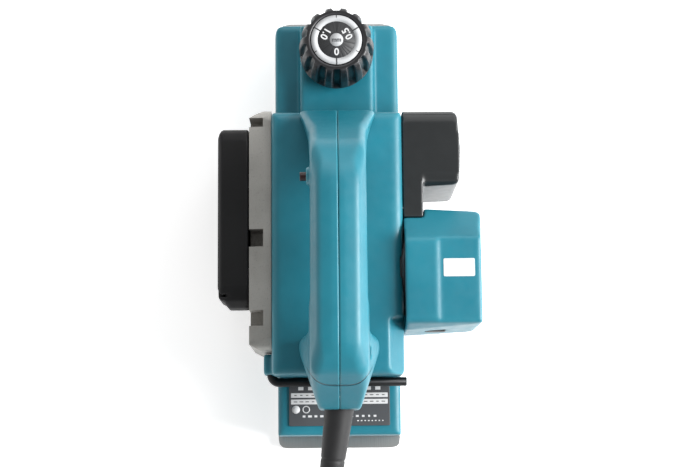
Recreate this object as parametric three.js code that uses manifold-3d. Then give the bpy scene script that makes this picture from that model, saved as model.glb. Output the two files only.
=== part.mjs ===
// Electric hand planer, 82 mm planing width.
//
// Units are millimetres and +Z is up. Every piece is drawn in the tool's own layout: x = 0 is the
// centre line of the soles with +x towards the motor, y = 0 is the rear end of the rear sole with +y
// towards the front, and z = 0 is the plane of both soles.  The exported group moves the origin to
// the middle of the rear sole.

import * as THREE from 'three';
import { mergeVertices } from 'three/addons/utils/BufferGeometryUtils.js';
import Module from 'manifold-3d';

const wasm = await Module();
wasm.setup();

// ---------------------------------------------------------------- driving dimensions

// soles
const planingWidth = 82;
const rearSoleLength = 168;
const throatLength = 22;
const frontSoleLength = 104;
const soleThickness = 8;
const sideBottom = 1.2;         // the belt side's lower edge, just clear of the work
const soleCorner = 6;
const vGrooveWidth = 6;

// clearances and walls
const gap = 0.3;              // between pieces that touch
const liftRoom = 1.5;         // above the soles, more than the front sole's travel
const wall = 2.5;             // moulded covers
const castWall = 3;           // die-cast walls

// cutter drum
const cuttingRadius = 27;
const drumBodyRadius = cuttingRadius - 2.5;
const chamberRadius = cuttingRadius + 1.5;
const drumShaftRadius = 4.7;
const bladeTip = cuttingRadius - 0.4;
const bladeThickness = 1.2;
const clampBoltSpacing = 44;

// motor
const motorZ = 58;
const statorRadius = 28;
const statorBore = 17.5;
const armatureRadius = 16.5;
const motorShaftRadius = 4;
const stackLength = 36;
const commutatorRadius = 11;
const fanRadius = 25;

// belt drive
const drumPulleyRadius = 19.7;
const motorPulleyRadius = 11.6;
const beltWidth = 11;
const beltThickness = 2.4;
const beltGap = 0.5;

// bearings
const drumBearing = { outer: 13, bore: 5, width: 8 };
const motorBearing = { outer: 11, bore: 4.3, width: 7 };

// outer mouldings
const bodyTop = motorZ + statorRadius + 3;
const bodyRear = 44.7;
const bodyAheadOfDrum = cuttingRadius + 7;
const bodyOverhang = 0.2;       // body wall beyond the sole on the motor side
const deckRear = 7.8;
const deckTop = 45;
const frontDeckSetback = 11.6;
const plateauTop = 58;
const plateauHalfWidth = 24;
const frameThickness = 14.1;
const frameTop = bodyTop - 9;
const beltCoverDepth = 20;
const motorHousingLength = 51.7;
const motorHousingRadius = statorRadius + 11.5;
const chuteDepth = 37.3;
const chuteTop = bodyTop - 5;
const chuteBottom = 14;

// handle
const handleBottom = bodyTop + gap;
const gripTop = bodyTop + 69;
const gripUnderside = bodyTop + 33;
const gripHalfWidth = 17;
const rootHalfWidth = 25;
const guardZ = bodyTop + 13;
const guardRadius = 9.3;
const guardFlange = 10.4;

// depth adjustment
const knobBehindFront = 36.7;
const knobRadius = 24.3;
const knobBottom = 65;
const knobTop = 97;
const dialRadius = 16.3;
const screwRadius = 4;

// stowed socket wrench
const wrenchRadius = 2.9;
const wrenchZ = 60;
const wrenchLeg = 17;

// cord
const cordDiameter = 7.7;
const guardLength = 65;
const coilMeanRadius = 46;
const coilBundle = 23;

// ---------------------------------------------------------------- places worked out from them

const halfWidth = planingWidth / 2;
const drumY = rearSoleLength + throatLength / 2;
const drumZ = cuttingRadius;
const toolLength = rearSoleLength + throatLength + frontSoleLength;
const partitionY = drumY - chamberRadius - castWall - 4.5;
const motorY = partitionY - statorRadius - 3;
const coverBottom = soleThickness + liftRoom;
const bodyFront = drumY + bodyAheadOfDrum;
const bodyRight = halfWidth + bodyOverhang;
const bodyLeft = -(halfWidth + 1.4);
const frameInner = bodyLeft - gap;
const frameOuter = frameInner - frameThickness;
const beltCoverInner = frameOuter - gap;
const beltCoverOuter = beltCoverInner - beltCoverDepth;
const rightFittings = bodyRight + gap;
const housingEnd = rightFittings + motorHousingLength;
const chuteEnd = rightFittings + chuteDepth;
const frameRear = bodyRear + 15.3;
const frameFront = bodyFront + 3.5;
const knobY = toolLength - knobBehindFront;
const beltX = beltCoverInner - wall - beltWidth / 2 - 1.5;
const brushX = rightFittings + 20.7;

// ---------------------------------------------------------------- materials

const plastic = (name, color, roughness = 0.5) =>
  new THREE.MeshStandardMaterial({ name, color, roughness, metalness: 0 });
const metal = (name, color, roughness = 0.4) =>
  new THREE.MeshStandardMaterial({ name, color, roughness, metalness: 1 });

const teal = plastic('teal_plastic', 0x2f8c9c, 0.45);
const black = plastic('black_plastic', 0x28282a, 0.5);
const glossBlack = plastic('gloss_black_plastic', 0x3c3e40, 0.3);
const white = plastic('white_print', 0xdcdcdc, 0.5);
const plateGrey = plastic('plate_grey', 0x545659, 0.5);
const red = plastic('button_red', 0x3a1214, 0.4);
const rubber = plastic('rubber', 0x2c2c2e, 0.7);
const insulator = plastic('insulator', 0x6b3a20, 0.6);
const casting = metal('casting', 0x918f8a, 0.5);
const steel = metal('steel', 0xa8aaac, 0.3);
const blackSteel = metal('black_steel', 0x323434, 0.5);
const copper = metal('copper', 0xb06a3a, 0.35);
const brass = metal('brass', 0xb59a55, 0.3);
const carbon = plastic('carbon', 0x1c1c1c, 0.8);

// ---------------------------------------------------------------- outlines

// A closed path through corner points [u, v, radius], each corner rounded by its radius.
function rounded(corners) {
  const path = new THREE.Shape();
  corners.forEach(([u, v, radius = 0], i) => {
    const before = corners[(i + corners.length - 1) % corners.length];
    const after = corners[(i + 1) % corners.length];
    const here = new THREE.Vector2(u, v);
    const back = new THREE.Vector2(before[0], before[1]).sub(here);
    const ahead = new THREE.Vector2(after[0], after[1]).sub(here);
    const cosine = back.dot(ahead) / back.length() / ahead.length();
    const half = Math.acos(THREE.MathUtils.clamp(cosine, -1, 1)) / 2;
    const reach = Math.min(radius / Math.tan(half), back.length() * 0.49, ahead.length() * 0.49);
    const start = here.clone().addScaledVector(back.normalize(), reach);
    const end = here.clone().addScaledVector(ahead.normalize(), reach);
    if (i === 0) path.moveTo(start.x, start.y);
    else path.lineTo(start.x, start.y);
    if (reach > 0) path.quadraticCurveTo(u, v, end.x, end.y);
  });
  path.closePath();
  return path;
}

// The same counter-clockwise corner list with every edge moved inwards by a distance.
function inset(corners, distance) {
  return corners.map(([u, v, radius = 0], i) => {
    const before = corners[(i + corners.length - 1) % corners.length];
    const after = corners[(i + 1) % corners.length];
    const a = new THREE.Vector2(u - before[0], v - before[1]).normalize();
    const b = new THREE.Vector2(after[0] - u, after[1] - v).normalize();
    const shift = distance / (1 + a.dot(b));
    return [u + (-a.y - b.y) * shift, v + (a.x + b.x) * shift, Math.max(radius - distance, 0)];
  });
}

const mirrored = (corners) => [
  ...corners,
  ...corners.map(([u, v, radius]) => [-u, v, radius]).reverse(),
];

const rectangle = (u0, u1, v0, v1, radius = 0) => [
  [u0, v0, radius],
  [u1, v0, radius],
  [u1, v1, radius],
  [u0, v1, radius],
];

function disc(u, v, radius) {
  const path = new THREE.Shape();
  path.absarc(u, v, radius, 0, Math.PI * 2);
  return path;
}

// ---------------------------------------------------------------- solids

// A closed geometry as a manifold solid.
function solid(geometry) {
  geometry.deleteAttribute('normal');
  geometry.deleteAttribute('uv');
  const merged = mergeVertices(geometry, 1e-4);
  return new wasm.Manifold(new wasm.Mesh({
    numProp: 3,
    vertProperties: new Float32Array(merged.attributes.position.array),
    triVerts: new Uint32Array(merged.index.array),
  }));
}

function extruded(shape, depth, curveSegments) {
  return new THREE.ExtrudeGeometry(shape, { depth, curveSegments, bevelEnabled: false, steps: 1 });
}

const asShape = (outline) => (Array.isArray(outline) ? rounded(outline) : outline);

// Outline in (x, y), standing from z0 to z1.
function alongZ(outline, z0, z1, segments = 3) {
  const geometry = extruded(asShape(outline), z1 - z0, segments);
  return solid(geometry.translate(0, 0, z0));
}

// Outline in (y, z), running from x0 to x1.
function alongX(outline, x0, x1, segments = 3) {
  const geometry = extruded(asShape(outline), x1 - x0, segments);
  const turn = new THREE.Matrix4().set(0, 0, 1, x0, 1, 0, 0, 0, 0, 1, 0, 0, 0, 0, 0, 1);
  return solid(geometry.applyMatrix4(turn));
}

// Outline in (x, z), running from y0 to y1.
function alongY(outline, y0, y1, segments = 3) {
  const geometry = extruded(asShape(outline), y1 - y0, segments);
  const turn = new THREE.Matrix4().set(1, 0, 0, 0, 0, 0, -1, y1, 0, 1, 0, 0, 0, 0, 0, 1);
  return solid(geometry.applyMatrix4(turn));
}

function block(x0, x1, y0, y1, z0, z1) {
  const geometry = new THREE.BoxGeometry(x1 - x0, y1 - y0, z1 - z0);
  return solid(geometry.translate((x0 + x1) / 2, (y0 + y1) / 2, (z0 + z1) / 2));
}

const rodX = (y, z, radius, x0, x1, segments = 6) => alongX(disc(y, z, radius), x0, x1, segments);
const rodY = (x, z, radius, y0, y1, segments = 6) => alongY(disc(x, z, radius), y0, y1, segments);
const rodZ = (x, y, radius, z0, z1, segments = 6) => alongZ(disc(x, y, radius), z0, z1, segments);

// A profile of [radius, height] points turned about its own z axis.
function turned(profile, segments = 24) {
  const points = profile.map(([radius, height]) => new THREE.Vector2(radius, height));
  return solid(new THREE.LatheGeometry(points, segments).rotateX(Math.PI / 2));
}

// A ring of rectangular section about its own z axis.
const ring = (inner, outer, z0, z1, segments = 24) =>
  turned([[inner, z0], [outer, z0], [outer, z1], [inner, z1], [inner, z0]], segments);

const join = (...parts) => parts.reduce((whole, part) => whole.add(part));
const cut = (body, ...tools) => tools.reduce((left, tool) => left.subtract(tool), body);

// ---------------------------------------------------------------- scene graph

const planer = new THREE.Group();
const tool = new THREE.Group();
tool.position.y = -rearSoleLength / 2;
planer.add(tool);

// Everything inside a spindle group is drawn about z, and z lies along the tool's x axis.
function spindle(y, z) {
  const group = new THREE.Group();
  group.position.set(0, y, z);
  group.rotation.y = Math.PI / 2;
  tool.add(group);
  return group;
}

const drum = spindle(drumY, drumZ);
const motor = spindle(motorY, motorZ);

function add(name, body, material, parent = tool) {
  const made = body.getMesh();
  const geometry = new THREE.BufferGeometry();
  geometry.setAttribute('position', new THREE.BufferAttribute(new Float32Array(made.vertProperties), 3));
  geometry.setIndex(new THREE.BufferAttribute(new Uint32Array(made.triVerts), 1));
  geometry.computeVertexNormals();
  const mesh = new THREE.Mesh(geometry, material);
  mesh.name = name;
  parent.add(mesh);
  return mesh;
}

// ---------------------------------------------------------------- soles

// Each sole ends at the throat in a lip that leans away from the cutting circle.
const lipLean = 11;

function rearBase() {
  const plan = rectangle(-halfWidth, halfWidth, 0, rearSoleLength, 0);
  plan[0][2] = soleCorner;
  plan[1][2] = soleCorner;
  const side = [[0, 1], [1.5, 0], [rearSoleLength, 0], [rearSoleLength, 1.2],
    [rearSoleLength - lipLean, soleThickness], [0, soleThickness]];
  return alongZ(plan, 0, soleThickness).intersect(alongX(side, -halfWidth, halfWidth));
}

const frontSoleRear = rearSoleLength + throatLength;
const bossRadius = 9;
const bossTop = 24;

function frontBase() {
  const nose = 9;
  const plan = [[-halfWidth, frontSoleRear], [halfWidth, frontSoleRear],
    [halfWidth, toolLength, nose], [-halfWidth, toolLength, nose]];
  const side = [[frontSoleRear, 0], [toolLength - 2, 0], [toolLength, 2], [toolLength, soleThickness],
    [frontSoleRear + lipLean, soleThickness], [frontSoleRear, 1.2]];
  const plate = alongZ(plan, 0, soleThickness).intersect(alongX(side, -halfWidth, halfWidth));
  const groove = alongY([[-vGrooveWidth / 2, -1], [vGrooveWidth / 2, -1], [vGrooveWidth / 2, 0],
    [0, vGrooveWidth / 2], [-vGrooveWidth / 2, 0]], frontSoleRear - 1, toolLength + 1);
  const boss = rodZ(0, knobY, bossRadius, soleThickness - 1, bossTop);
  const thread = rodZ(0, knobY, screwRadius + gap, soleThickness - 2.5, bossTop + 1);
  return cut(join(plate, boss), groove, thread);
}

// ---------------------------------------------------------------- die-cast main frame

const rightPlateInner = rightFittings + gap;
const rightPlateOuter = rightPlateInner + drumBearing.width + 1.5;
const rightPlateRadius = drumBearing.outer + 4;

function frameSide() {
  const outline = [[frameRear, sideBottom, 3], [frameFront, sideBottom, 3], [frameFront, frameTop, 9],
    [frameRear, frameTop, 14]];
  const bandWidth = 10.3;
  const bandDrop = 1.5;
  const plan = [[frameOuter + 9, frameRear], [frameInner, frameRear], [frameInner, frameFront],
    [frameOuter + bandWidth, frameFront], [frameOuter, frameFront - 5.7], [frameOuter, frameRear + 4.7]];
  const section = [[frameOuter, sideBottom], [frameInner, sideBottom], [frameInner, frameTop],
    [frameOuter + bandWidth, frameTop], [frameOuter, frameTop - bandDrop]];
  const side = alongX(outline, frameOuter, frameInner, 4)
    .intersect(alongZ(plan, sideBottom, frameTop))
    .intersect(alongY(section, frameRear, frameFront));
  const notches = [[frameFront - 11.7, 5.9], [motorY + 15, 11.3], [motorY - 35.5, 10]].map(([y, length]) =>
    block(frameOuter - 1, frameOuter + 9, y, y + length, frameTop - 20, frameTop + 1));
  return cut(side, ...notches);
}

function mainFrame() {
  const bottom = soleThickness + gap;
  const right = bodyRight - wall - gap;
  const floor = block(frameInner - 1, right, frameRear + 18, partitionY + castWall, bottom, bottom + 4);
  const partition = join(
    block(frameInner - 1, right, partitionY, partitionY + castWall, bottom, frameTop - 1),
    block(bodyLeft + wall + 4, right - 4, partitionY, partitionY + castWall, bottom, bodyTop - wall - gap));
  const hood = new THREE.Shape();
  const from = THREE.MathUtils.degToRad(68);
  const to = THREE.MathUtils.degToRad(196);
  hood.absarc(drumY, drumZ, chamberRadius + castWall, from, to);
  hood.absarc(drumY, drumZ, chamberRadius, to, from, true);
  const hoodBody = alongX(hood, frameInner - 1, rightPlateInner + 1, 16);
  const web = block(frameInner - 1, right, partitionY + 1, drumY - chamberRadius - 1, bottom, drumZ - 3);
  const rightPlate = alongX([[drumY - rightPlateRadius, coverBottom], [drumY + rightPlateRadius, coverBottom],
    [drumY + rightPlateRadius, drumZ + 8], [drumY + 12, drumZ + chamberRadius + castWall, 3],
    [drumY - 12, drumZ + chamberRadius + castWall, 3], [drumY - rightPlateRadius, drumZ + 8]],
  rightPlateInner, rightPlateOuter);
  const drumBore = rodX(drumY, drumZ, drumBearing.outer + gap, frameOuter - 1,
    frameOuter + drumBearing.width + 1, 8);
  const drumPass = rodX(drumY, drumZ, drumShaftRadius + 3, frameOuter - 1, rightPlateOuter + 1, 6);
  const rightBore = rodX(drumY, drumZ, drumBearing.outer + gap, rightPlateInner + 1, rightPlateOuter + 1, 8);
  const motorBore = rodX(motorY, motorZ, motorBearing.outer + gap, frameOuter - 1,
    frameOuter + motorBearing.width + 1, 8);
  const motorPass = rodX(motorY, motorZ, motorShaftRadius + 3, frameOuter - 1, frameInner + 1, 6);
  const chipRoom = rodX(drumY, drumZ, chamberRadius, frameInner, rightPlateInner, 16);
  const whole = join(frameSide(), floor, partition, hoodBody, web, rightPlate);
  return cut(whole, drumBore, drumPass, rightBore, motorBore, motorPass, chipRoom);
}

// ---------------------------------------------------------------- body cover and decks

const chipMouth = { rear: drumY - 19, front: bodyFront - wall - 1.5, bottom: 40, top: bodyTop - 10 };

// The cover's outer form, or with a thickness its inner form.
function bodyForm(thickness) {
  const corner = 6;
  const side = [[bodyRear, coverBottom], [bodyFront, coverBottom], [bodyFront, bodyTop, corner],
    [bodyRear, bodyTop, corner]];
  const front = [[bodyLeft, coverBottom], [bodyRight, coverBottom], [bodyRight, bodyTop, corner],
    [bodyLeft, bodyTop, corner]];
  const plan = [[bodyLeft, bodyRear, 3], [bodyRight, bodyRear, 3], [bodyRight, bodyFront, 3],
    [bodyLeft, bodyFront, 3]];
  const open = thickness ? 20 : 0;
  const sideIn = inset(side, thickness).map(([u, v, r]) => [u, v < bodyTop / 2 ? v - open : v, r]);
  const frontIn = inset(front, thickness).map(([u, v, r]) => [u, v < bodyTop / 2 ? v - open : v, r]);
  return alongX(sideIn, bodyLeft - 1, bodyRight + 1)
    .intersect(alongY(frontIn, bodyRear - 1, bodyFront + 1))
    .intersect(alongZ(inset(plan, thickness), -30, bodyTop + 1))
    .subtract(edgeChamfer(thickness));
}

// Behind the motor housing the right-hand top edge is a broad chamfer.
function edgeChamfer(thickness) {
  const width = 9.7;
  const drop = 12;
  const beyond = 5;
  const top = bodyTop + beyond;
  const shift = thickness * Math.hypot(width, drop) / drop;
  const edge = bodyRight - width - shift - beyond * width / drop;
  const right = bodyRight + beyond;
  const section = [[edge, top], [right, top - (right - edge) * drop / width], [right, top]];
  const front = motorY - statorRadius - 3.5 + thickness;
  const plan = [[edge - beyond, bodyRear - beyond], [right, bodyRear - beyond], [right, front],
    [bodyRight - width - shift, front, 6], [edge - beyond, front - 5]];
  return alongY(section, bodyRear - beyond, front).intersect(alongZ(plan, 0, top));
}

const wrenchY = bodyRear - wrenchRadius - gap;
const wrenchLegX = frameInner - 0.7;
const pocketFront = frameRear - 0.6;

function wrenchPocket() {
  const outer = alongX([[bodyRear + 1.3, wrenchZ - 7, 1], [pocketFront, wrenchZ - 7, 1],
    [pocketFront, wrenchZ + 7, 3], [bodyRear + 1.3, wrenchZ + 7, 3]], wrenchLegX - 4.8, bodyLeft + wall + 2);
  const bore = rodY(wrenchLegX, wrenchZ, wrenchRadius + 0.8, bodyRear, wrenchY + wrenchLeg + 1);
  return cut(outer, bore);
}

function wrenchRests() {
  const shelf = (x) => block(x - 4, x + 4, bodyRear - 6, bodyRear + 1, wrenchZ - wrenchRadius - 3.3,
    wrenchZ - wrenchRadius - gap);
  return [shelf(-24), shelf(22)];
}

function bodyCover() {
  const shell = cut(bodyForm(0), bodyForm(wall));
  const frameWindow = alongX(rectangle(frameRear - gap, bodyFront - wall - 0.5, coverBottom - 1,
      frameTop + gap, 0),
    bodyLeft - 1, bodyLeft + wall + 1);
  const motorHole = rodX(motorY, motorZ, statorRadius + 1.5, bodyRight - wall - 5, bodyRight + 1, 8);
  const drumHole = rodX(drumY, drumZ, chamberRadius + castWall + gap, bodyRight - wall - 1,
      bodyRight + 1, 20);
  const foot = block(bodyRight - wall - 1, bodyRight + 1, drumY - rightPlateRadius, drumY + rightPlateRadius,
    coverBottom - 1, drumZ);
  const chips = alongX(rectangle(chipMouth.rear, chipMouth.front, chipMouth.bottom, chipMouth.top, 4),
    bodyRight - wall - 1, bodyRight + 1);
  const pocketRoom = rodY(wrenchLegX, wrenchZ, wrenchRadius + 0.8, bodyRear - 1, wrenchY + wrenchLeg + 1);
  const whole = join(cut(shell, frameWindow, motorHole, drumHole, foot, chips), wrenchPocket(),
      ...wrenchRests());
  return cut(whole, pocketRoom);
}

// A deck: a cover with an open underside.
function deckForm(x0, x1, y0, y1, top, thickness) {
  const low = thickness ? coverBottom - 5 : coverBottom;
  const t = thickness;
  const side = alongX([[y0 + t, low], [y1 - t, low], [y1 - t, top - t, 3], [y0 + t, top - t, 3]], x0, x1);
  const front = alongY([[x0 + t, low], [x1 - t, low], [x1 - t, top - t, 4], [x0 + t, top - t, 4]], y0, y1);
  return side.intersect(front);
}

function frontDeck() {
  const edge = halfWidth + 0.3;
  const rear = bodyFront + gap;
  const front = toolLength - frontDeckSetback;
  const nose = alongZ([[-edge, rear], [edge, rear], [edge, front, 7], [-edge, front, 7]], 0, plateauTop);
  const low = deckForm(-edge, edge, rear, front, deckTop, 0).intersect(nose);
  const raised = alongY([[-plateauHalfWidth - 1, deckTop - 1], [plateauHalfWidth + 1, deckTop - 1],
    [plateauHalfWidth, plateauTop, 2], [-plateauHalfWidth, plateauTop, 2]], rear, front - 4);
  const room = deckForm(-edge, edge, rear, front, deckTop, wall);
  const raisedRoom = alongY(rectangle(-plateauHalfWidth + wall, plateauHalfWidth - wall, deckTop - 8,
    plateauTop - wall, 1), rear + wall, front - 4 - wall);
  const neck = rodZ(0, knobY, screwRadius + 0.8, plateauTop - wall - 1, plateauTop + 1);
  return cut(join(low, raised), room, raisedRoom, neck);
}

function rearDeck() {
  const edge = halfWidth - 1;
  const front = bodyRear - gap;
  const outer = deckForm(-edge, edge, deckRear, front, deckTop, 0);
  return cut(outer, deckForm(-edge, edge, deckRear, front, deckTop, wall));
}

function ratingPlate() {
  const half = 32.7;
  return alongZ(rectangle(-half, half, deckRear + 6.2, bodyRear - 3, 1), deckTop + gap, deckTop + gap + 0.8);
}

// ---------------------------------------------------------------- handle halves

const gripRear = bodyRear - 2;
const frontLegRear = bodyFront - 26.5;
const guardMouth = 22;

function handleForm(thickness) {
  const side = [[guardMouth, handleBottom], [bodyRear + 22, handleBottom, 3],
      [bodyRear + 27, gripUnderside, 14],
    [frontLegRear - 34, gripUnderside, 14], [frontLegRear, handleBottom, 3], [bodyFront - 0.5, handleBottom],
    [bodyFront - 0.5, handleBottom + 3.7, 3], [bodyFront - 34, gripTop - 11, 20],
        [bodyFront - 54, gripTop, 20],
    [bodyRear + 16, gripTop, 14], [gripRear, gripTop - 10, 10], [guardMouth, guardZ + 12, 3]];
  const front = mirrored([[rootHalfWidth, handleBottom], [rootHalfWidth - 1, handleBottom + 11.7, 3],
    [gripHalfWidth + 1, gripUnderside - 3, 8], [gripHalfWidth, gripTop - 12, 6], [12, gripTop - 2, 5],
        [5, gripTop]]);
  const plan = mirrored([[12.5, guardMouth], [17, bodyRear - 9, 6], [rootHalfWidth, bodyRear + 15, 8],
    [rootHalfWidth, bodyFront]]);
  const sideIn = inset(side, thickness);
  return alongX(sideIn, -rootHalfWidth - 1, rootHalfWidth + 1)
    .intersect(alongY(inset(front, thickness), guardMouth - 1, bodyFront + 1))
    .intersect(alongZ(inset(plan, thickness), handleBottom - 1, gripTop + 1));
}

const triggerSlot = { rear: frontLegRear - 78, front: frontLegRear - 34, half: 7.5 };
const lockY = bodyFront - 52.4;
const lockZ = gripTop - 18;
const screwPlaces = [[bodyRear + 12, gripUnderside - 4], [bodyFront - 19, gripUnderside - 14]];

function handleShell() {
  const shell = cut(handleForm(0), handleForm(wall));
  const bosses = screwPlaces.map(([y, z]) => rodX(y, z, 5, -rootHalfWidth - 1, rootHalfWidth + 1)
    .intersect(handleForm(0)));
  const lockBoss = rodX(lockY, lockZ, 5.5, -gripHalfWidth - 2.2, -gripHalfWidth + 3);
  const slot = block(-triggerSlot.half, triggerSlot.half, triggerSlot.rear, triggerSlot.front,
    gripUnderside - 5, gripUnderside + wall + 4);
  const mouth = guardAxisAt(guardMouth + 1);
  const guardHole = join(rodY(mouth.x, mouth.z, guardRadius + 0.8, guardMouth - 1, guardMouth + wall + 2),
    rodY(mouth.x, mouth.z, guardFlange + 0.8, guardMouth + wall, guardMouth + 10));
  const lockHole = rodX(lockY, lockZ, 3.2, -gripHalfWidth - 5, -gripHalfWidth + 6);
  return cut(join(shell, ...bosses, lockBoss), slot, guardHole, lockHole);
}

function handleHalves() {
  const whole = handleShell();
  const reach = rootHalfWidth + 5;
  const half = (x0, x1) => whole.intersect(block(x0, x1, 0, bodyFront + 5, handleBottom - 1, gripTop + 5));
  const threads = screwPlaces.map(([y, z]) => rodX(y, z, 1.9, -12, 1));
  const clearances = screwPlaces.flatMap(([y, z]) => [
    rodX(y, z, 1.9, -1, reach), rodX(y, z, 3.8, 10, reach)]);
  return {
    left: cut(half(-reach, -gap / 2), ...threads),
    right: cut(half(gap / 2, reach), ...clearances),
  };
}

function handleScrew([y, z]) {
  const shank = rodX(y, z, 1.5, -11, 11);
  const head = rodX(y, z, 3.4, 10.4, 13);
  const slot = block(12, 14, y - 0.5, y + 0.5, z - 5, z + 5);
  return cut(join(shank, head), slot);
}

// ---------------------------------------------------------------- switch parts

const triggerPivotY = triggerSlot.front - 3;
const triggerPivotZ = gripUnderside + 5;

function switchTrigger() {
  const rear = triggerSlot.rear + 1.2;
  const outline = [[rear, gripUnderside - 8, 3], [triggerPivotY - 12, gripUnderside - 7, 6],
    [triggerPivotY + 2, gripUnderside - 1, 3], [triggerPivotY + 2, triggerPivotZ + 2, 1],
        [rear, triggerPivotZ + 2, 1]];
  const body = alongX(outline, -triggerSlot.half + 0.6, triggerSlot.half - 0.6);
  return cut(body, rodX(triggerPivotY, triggerPivotZ, 1, -10, 10));
}

function switchBody() {
  const y0 = triggerSlot.rear - 2;
  const y1 = triggerSlot.front - 2;
  const body = block(-7, 7, y0, y1, gripUnderside + 15, gripUnderside + 29);
  const plunger = block(-3, 3, y0 + 8, y0 + 14, gripUnderside + 14, gripUnderside + 16);
  const terminals = [y0 + 4, y1 - 8].map((y) =>
      block(-5, 5, y, y + 4, gripUnderside + 28, gripUnderside + 31));
  return join(body, plunger, ...terminals);
}

function lockButton() {
  const cap = rodX(lockY, lockZ, 2.75, -gripHalfWidth - 5.9, -gripHalfWidth + 5);
  const foot = rodX(lockY, lockZ, 4.2, -gripHalfWidth + 4, -gripHalfWidth + 5.5);
  return join(cap, foot);
}

// ---------------------------------------------------------------- motor housing, belt cover and chip chute

const footFront = drumY - cuttingRadius + 5.5;
const footRear = footFront - 13;
const footWidth = 12.9;
const chuteFront = bodyFront + 1.7;
const boxRear = footFront + 7;

// The housing's outer form, or with a thickness its inner form. Round the motor axis it is an
// eight-sided barrel
// with a long facet falling to the front; its end leans in towards the top.
function housingForm(thickness) {
  const radius = motorHousingRadius;
  const flat = 0.68 * radius;
  const shoulder = 0.62 * radius;
  const barrel = [[motorY - flat, motorZ - radius, 8], [motorY + flat, motorZ - radius, 8],
    [motorY + radius, motorZ - shoulder, 10], [motorY + radius, motorZ + 0.5 * radius, 8],
    [motorY + 0.415 * radius, motorZ + radius, 6], [motorY - 0.9 * radius, motorZ + radius, 4],
    [motorY - radius, motorZ + shoulder, 8], [motorY - radius, motorZ - shoulder, 10]];
  const inboard = rightFittings - (thickness ? 5 : 0);
  const plan = [[inboard, motorY - radius], [housingEnd - 4, motorY - radius + 3, 5],
    [housingEnd, motorY - radius + 9, 10], [housingEnd, motorY + radius - 9, 10],
    [housingEnd - 4, motorY + radius - 3, 5], [inboard, motorY + radius]];
  const top = motorZ + radius;
  const lean = 4;
  const step = 1;
  const stepX = rightFittings + 20;
  const section = [[inboard, 0], [housingEnd, 0], [housingEnd, motorZ], [housingEnd - lean, top - step],
    [stepX + 2.1, top - step], [stepX, top], [inboard, top]];
  const keepOpen = (corners) =>
    inset(corners, thickness).map(([u, v, r]) => [u < rightFittings ? inboard : u, v, r]);
  return alongX(inset(barrel, thickness), inboard, housingEnd)
    .intersect(alongZ(thickness ? keepOpen(plan) : plan, 0, top + 1))
    .intersect(alongY(thickness ? keepOpen(section) : section, motorY - radius, motorY + radius));
}

function motorHousing() {
  const foot = (clearance) => block(rightFittings - 6, rightFittings + footWidth + clearance,
      footRear - clearance,
    footFront + 10, chuteBottom - clearance, chuteTop + 40);
  const outer = housingForm(0);
  const inner = housingForm(wall);
  const seat = rodX(motorY, motorZ, motorBearing.outer + 3, housingEnd - wall - motorBearing.width,
      housingEnd - 1, 8)
    .intersect(outer);
  const seatBore = rodX(motorY, motorZ, motorBearing.outer + gap, housingEnd - wall - motorBearing.width - 1,
    housingEnd - wall, 8);
  const brushHoles = rodY(brushX, motorZ, brushCapRadius + gap, motorY - 50, motorY + 50);
  const vents = [-22, -16, 16, 22].map((offset) =>
    alongX(rectangle(motorY + offset - 1.6, motorY + offset + 1.6, motorZ - 14, motorZ + 14, 1.5),
      housingEnd - wall - 1, housingEnd + 1));
  const shell = cut(outer, foot(gap), cut(inner, foot(gap + wall)));
  return cut(join(shell, seat), seatBore, brushHoles, ...vents);
}

function beltOutline(drumSide, motorSide) {
  // The outer common tangents of a circle round each pulley, as one closed path.
  const dy = motorY - drumY;
  const dz = motorZ - drumZ;
  const span = Math.hypot(dy, dz);
  const along = Math.atan2(dz, dy);
  const lean = Math.acos((drumSide - motorSide) / span);
  const path = new THREE.Shape();
  path.absarc(drumY, drumZ, drumSide, along + lean, along - lean + 2 * Math.PI);
  path.absarc(motorY, motorZ, motorSide, along - lean, along + lean);
  path.closePath();
  return path;
}

function driveBelt() {
  const inner = beltGap;
  const outer = beltGap + beltThickness;
  const band = (extra, width) => alongX(beltOutline(drumPulleyRadius + extra, motorPulleyRadius + extra),
    beltX - width / 2, beltX + width / 2, 14);
  return cut(band(outer, beltWidth), band(inner, beltWidth + 2));
}

function beltCover() {
  const rear = motorY - 26.5;
  const front = drumY + 25.8;
  const top = frameTop - 2;
  const side = [[rear + 6, motorZ - 22, 14], [drumY - 26, sideBottom, 10], [front, sideBottom, 16],
    [front, top, 8], [rear, top, 14]];
  const plan = [[beltCoverOuter, rear + 9, 4], [beltCoverOuter + 3, rear + 8], [beltCoverOuter + 9, rear, 3],
    [beltCoverInner, rear], [beltCoverInner, front], [beltCoverOuter + 2.5, front, 4],
        [beltCoverOuter, front - 6, 4]];
  const section = [[beltCoverOuter, 0], [beltCoverInner, 0], [beltCoverInner, top],
      [beltCoverOuter + 2.2, top],
    [beltCoverOuter, top - 3]];
  const planIn = inset(plan, wall).map(([u, v, r]) =>
      [u > beltCoverInner - wall - 1 ? beltCoverInner + 5 : u, v, r]);
  const outer = alongX(side, beltCoverOuter, beltCoverInner)
    .intersect(alongZ(plan, 0, frameTop))
    .intersect(alongY(section, rear, front));
  const inner = alongX(inset(side, wall), beltCoverOuter + wall, beltCoverInner + 1)
    .intersect(alongZ(planIn, 0, frameTop));
  const posts = beltScrewPlaces.map(([y, z]) =>
    rodX(y, z, 5, beltCoverOuter + 1, beltCoverInner).intersect(outer));
  const holes = beltScrewPlaces.flatMap(([y, z]) => [
    rodX(y, z, 2.3, beltCoverOuter - 1, beltCoverInner + 1),
    rodX(y, z, 4.2, beltCoverOuter - 1, beltCoverOuter + beltScrewSeat)]);
  return cut(join(cut(outer, inner), ...posts), ...holes);
}

const beltScrewPlaces = [[motorY - 15.5, frameTop - 8], [drumY + 19, drumZ + 25]];
const beltScrewSeat = 8;

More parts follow.
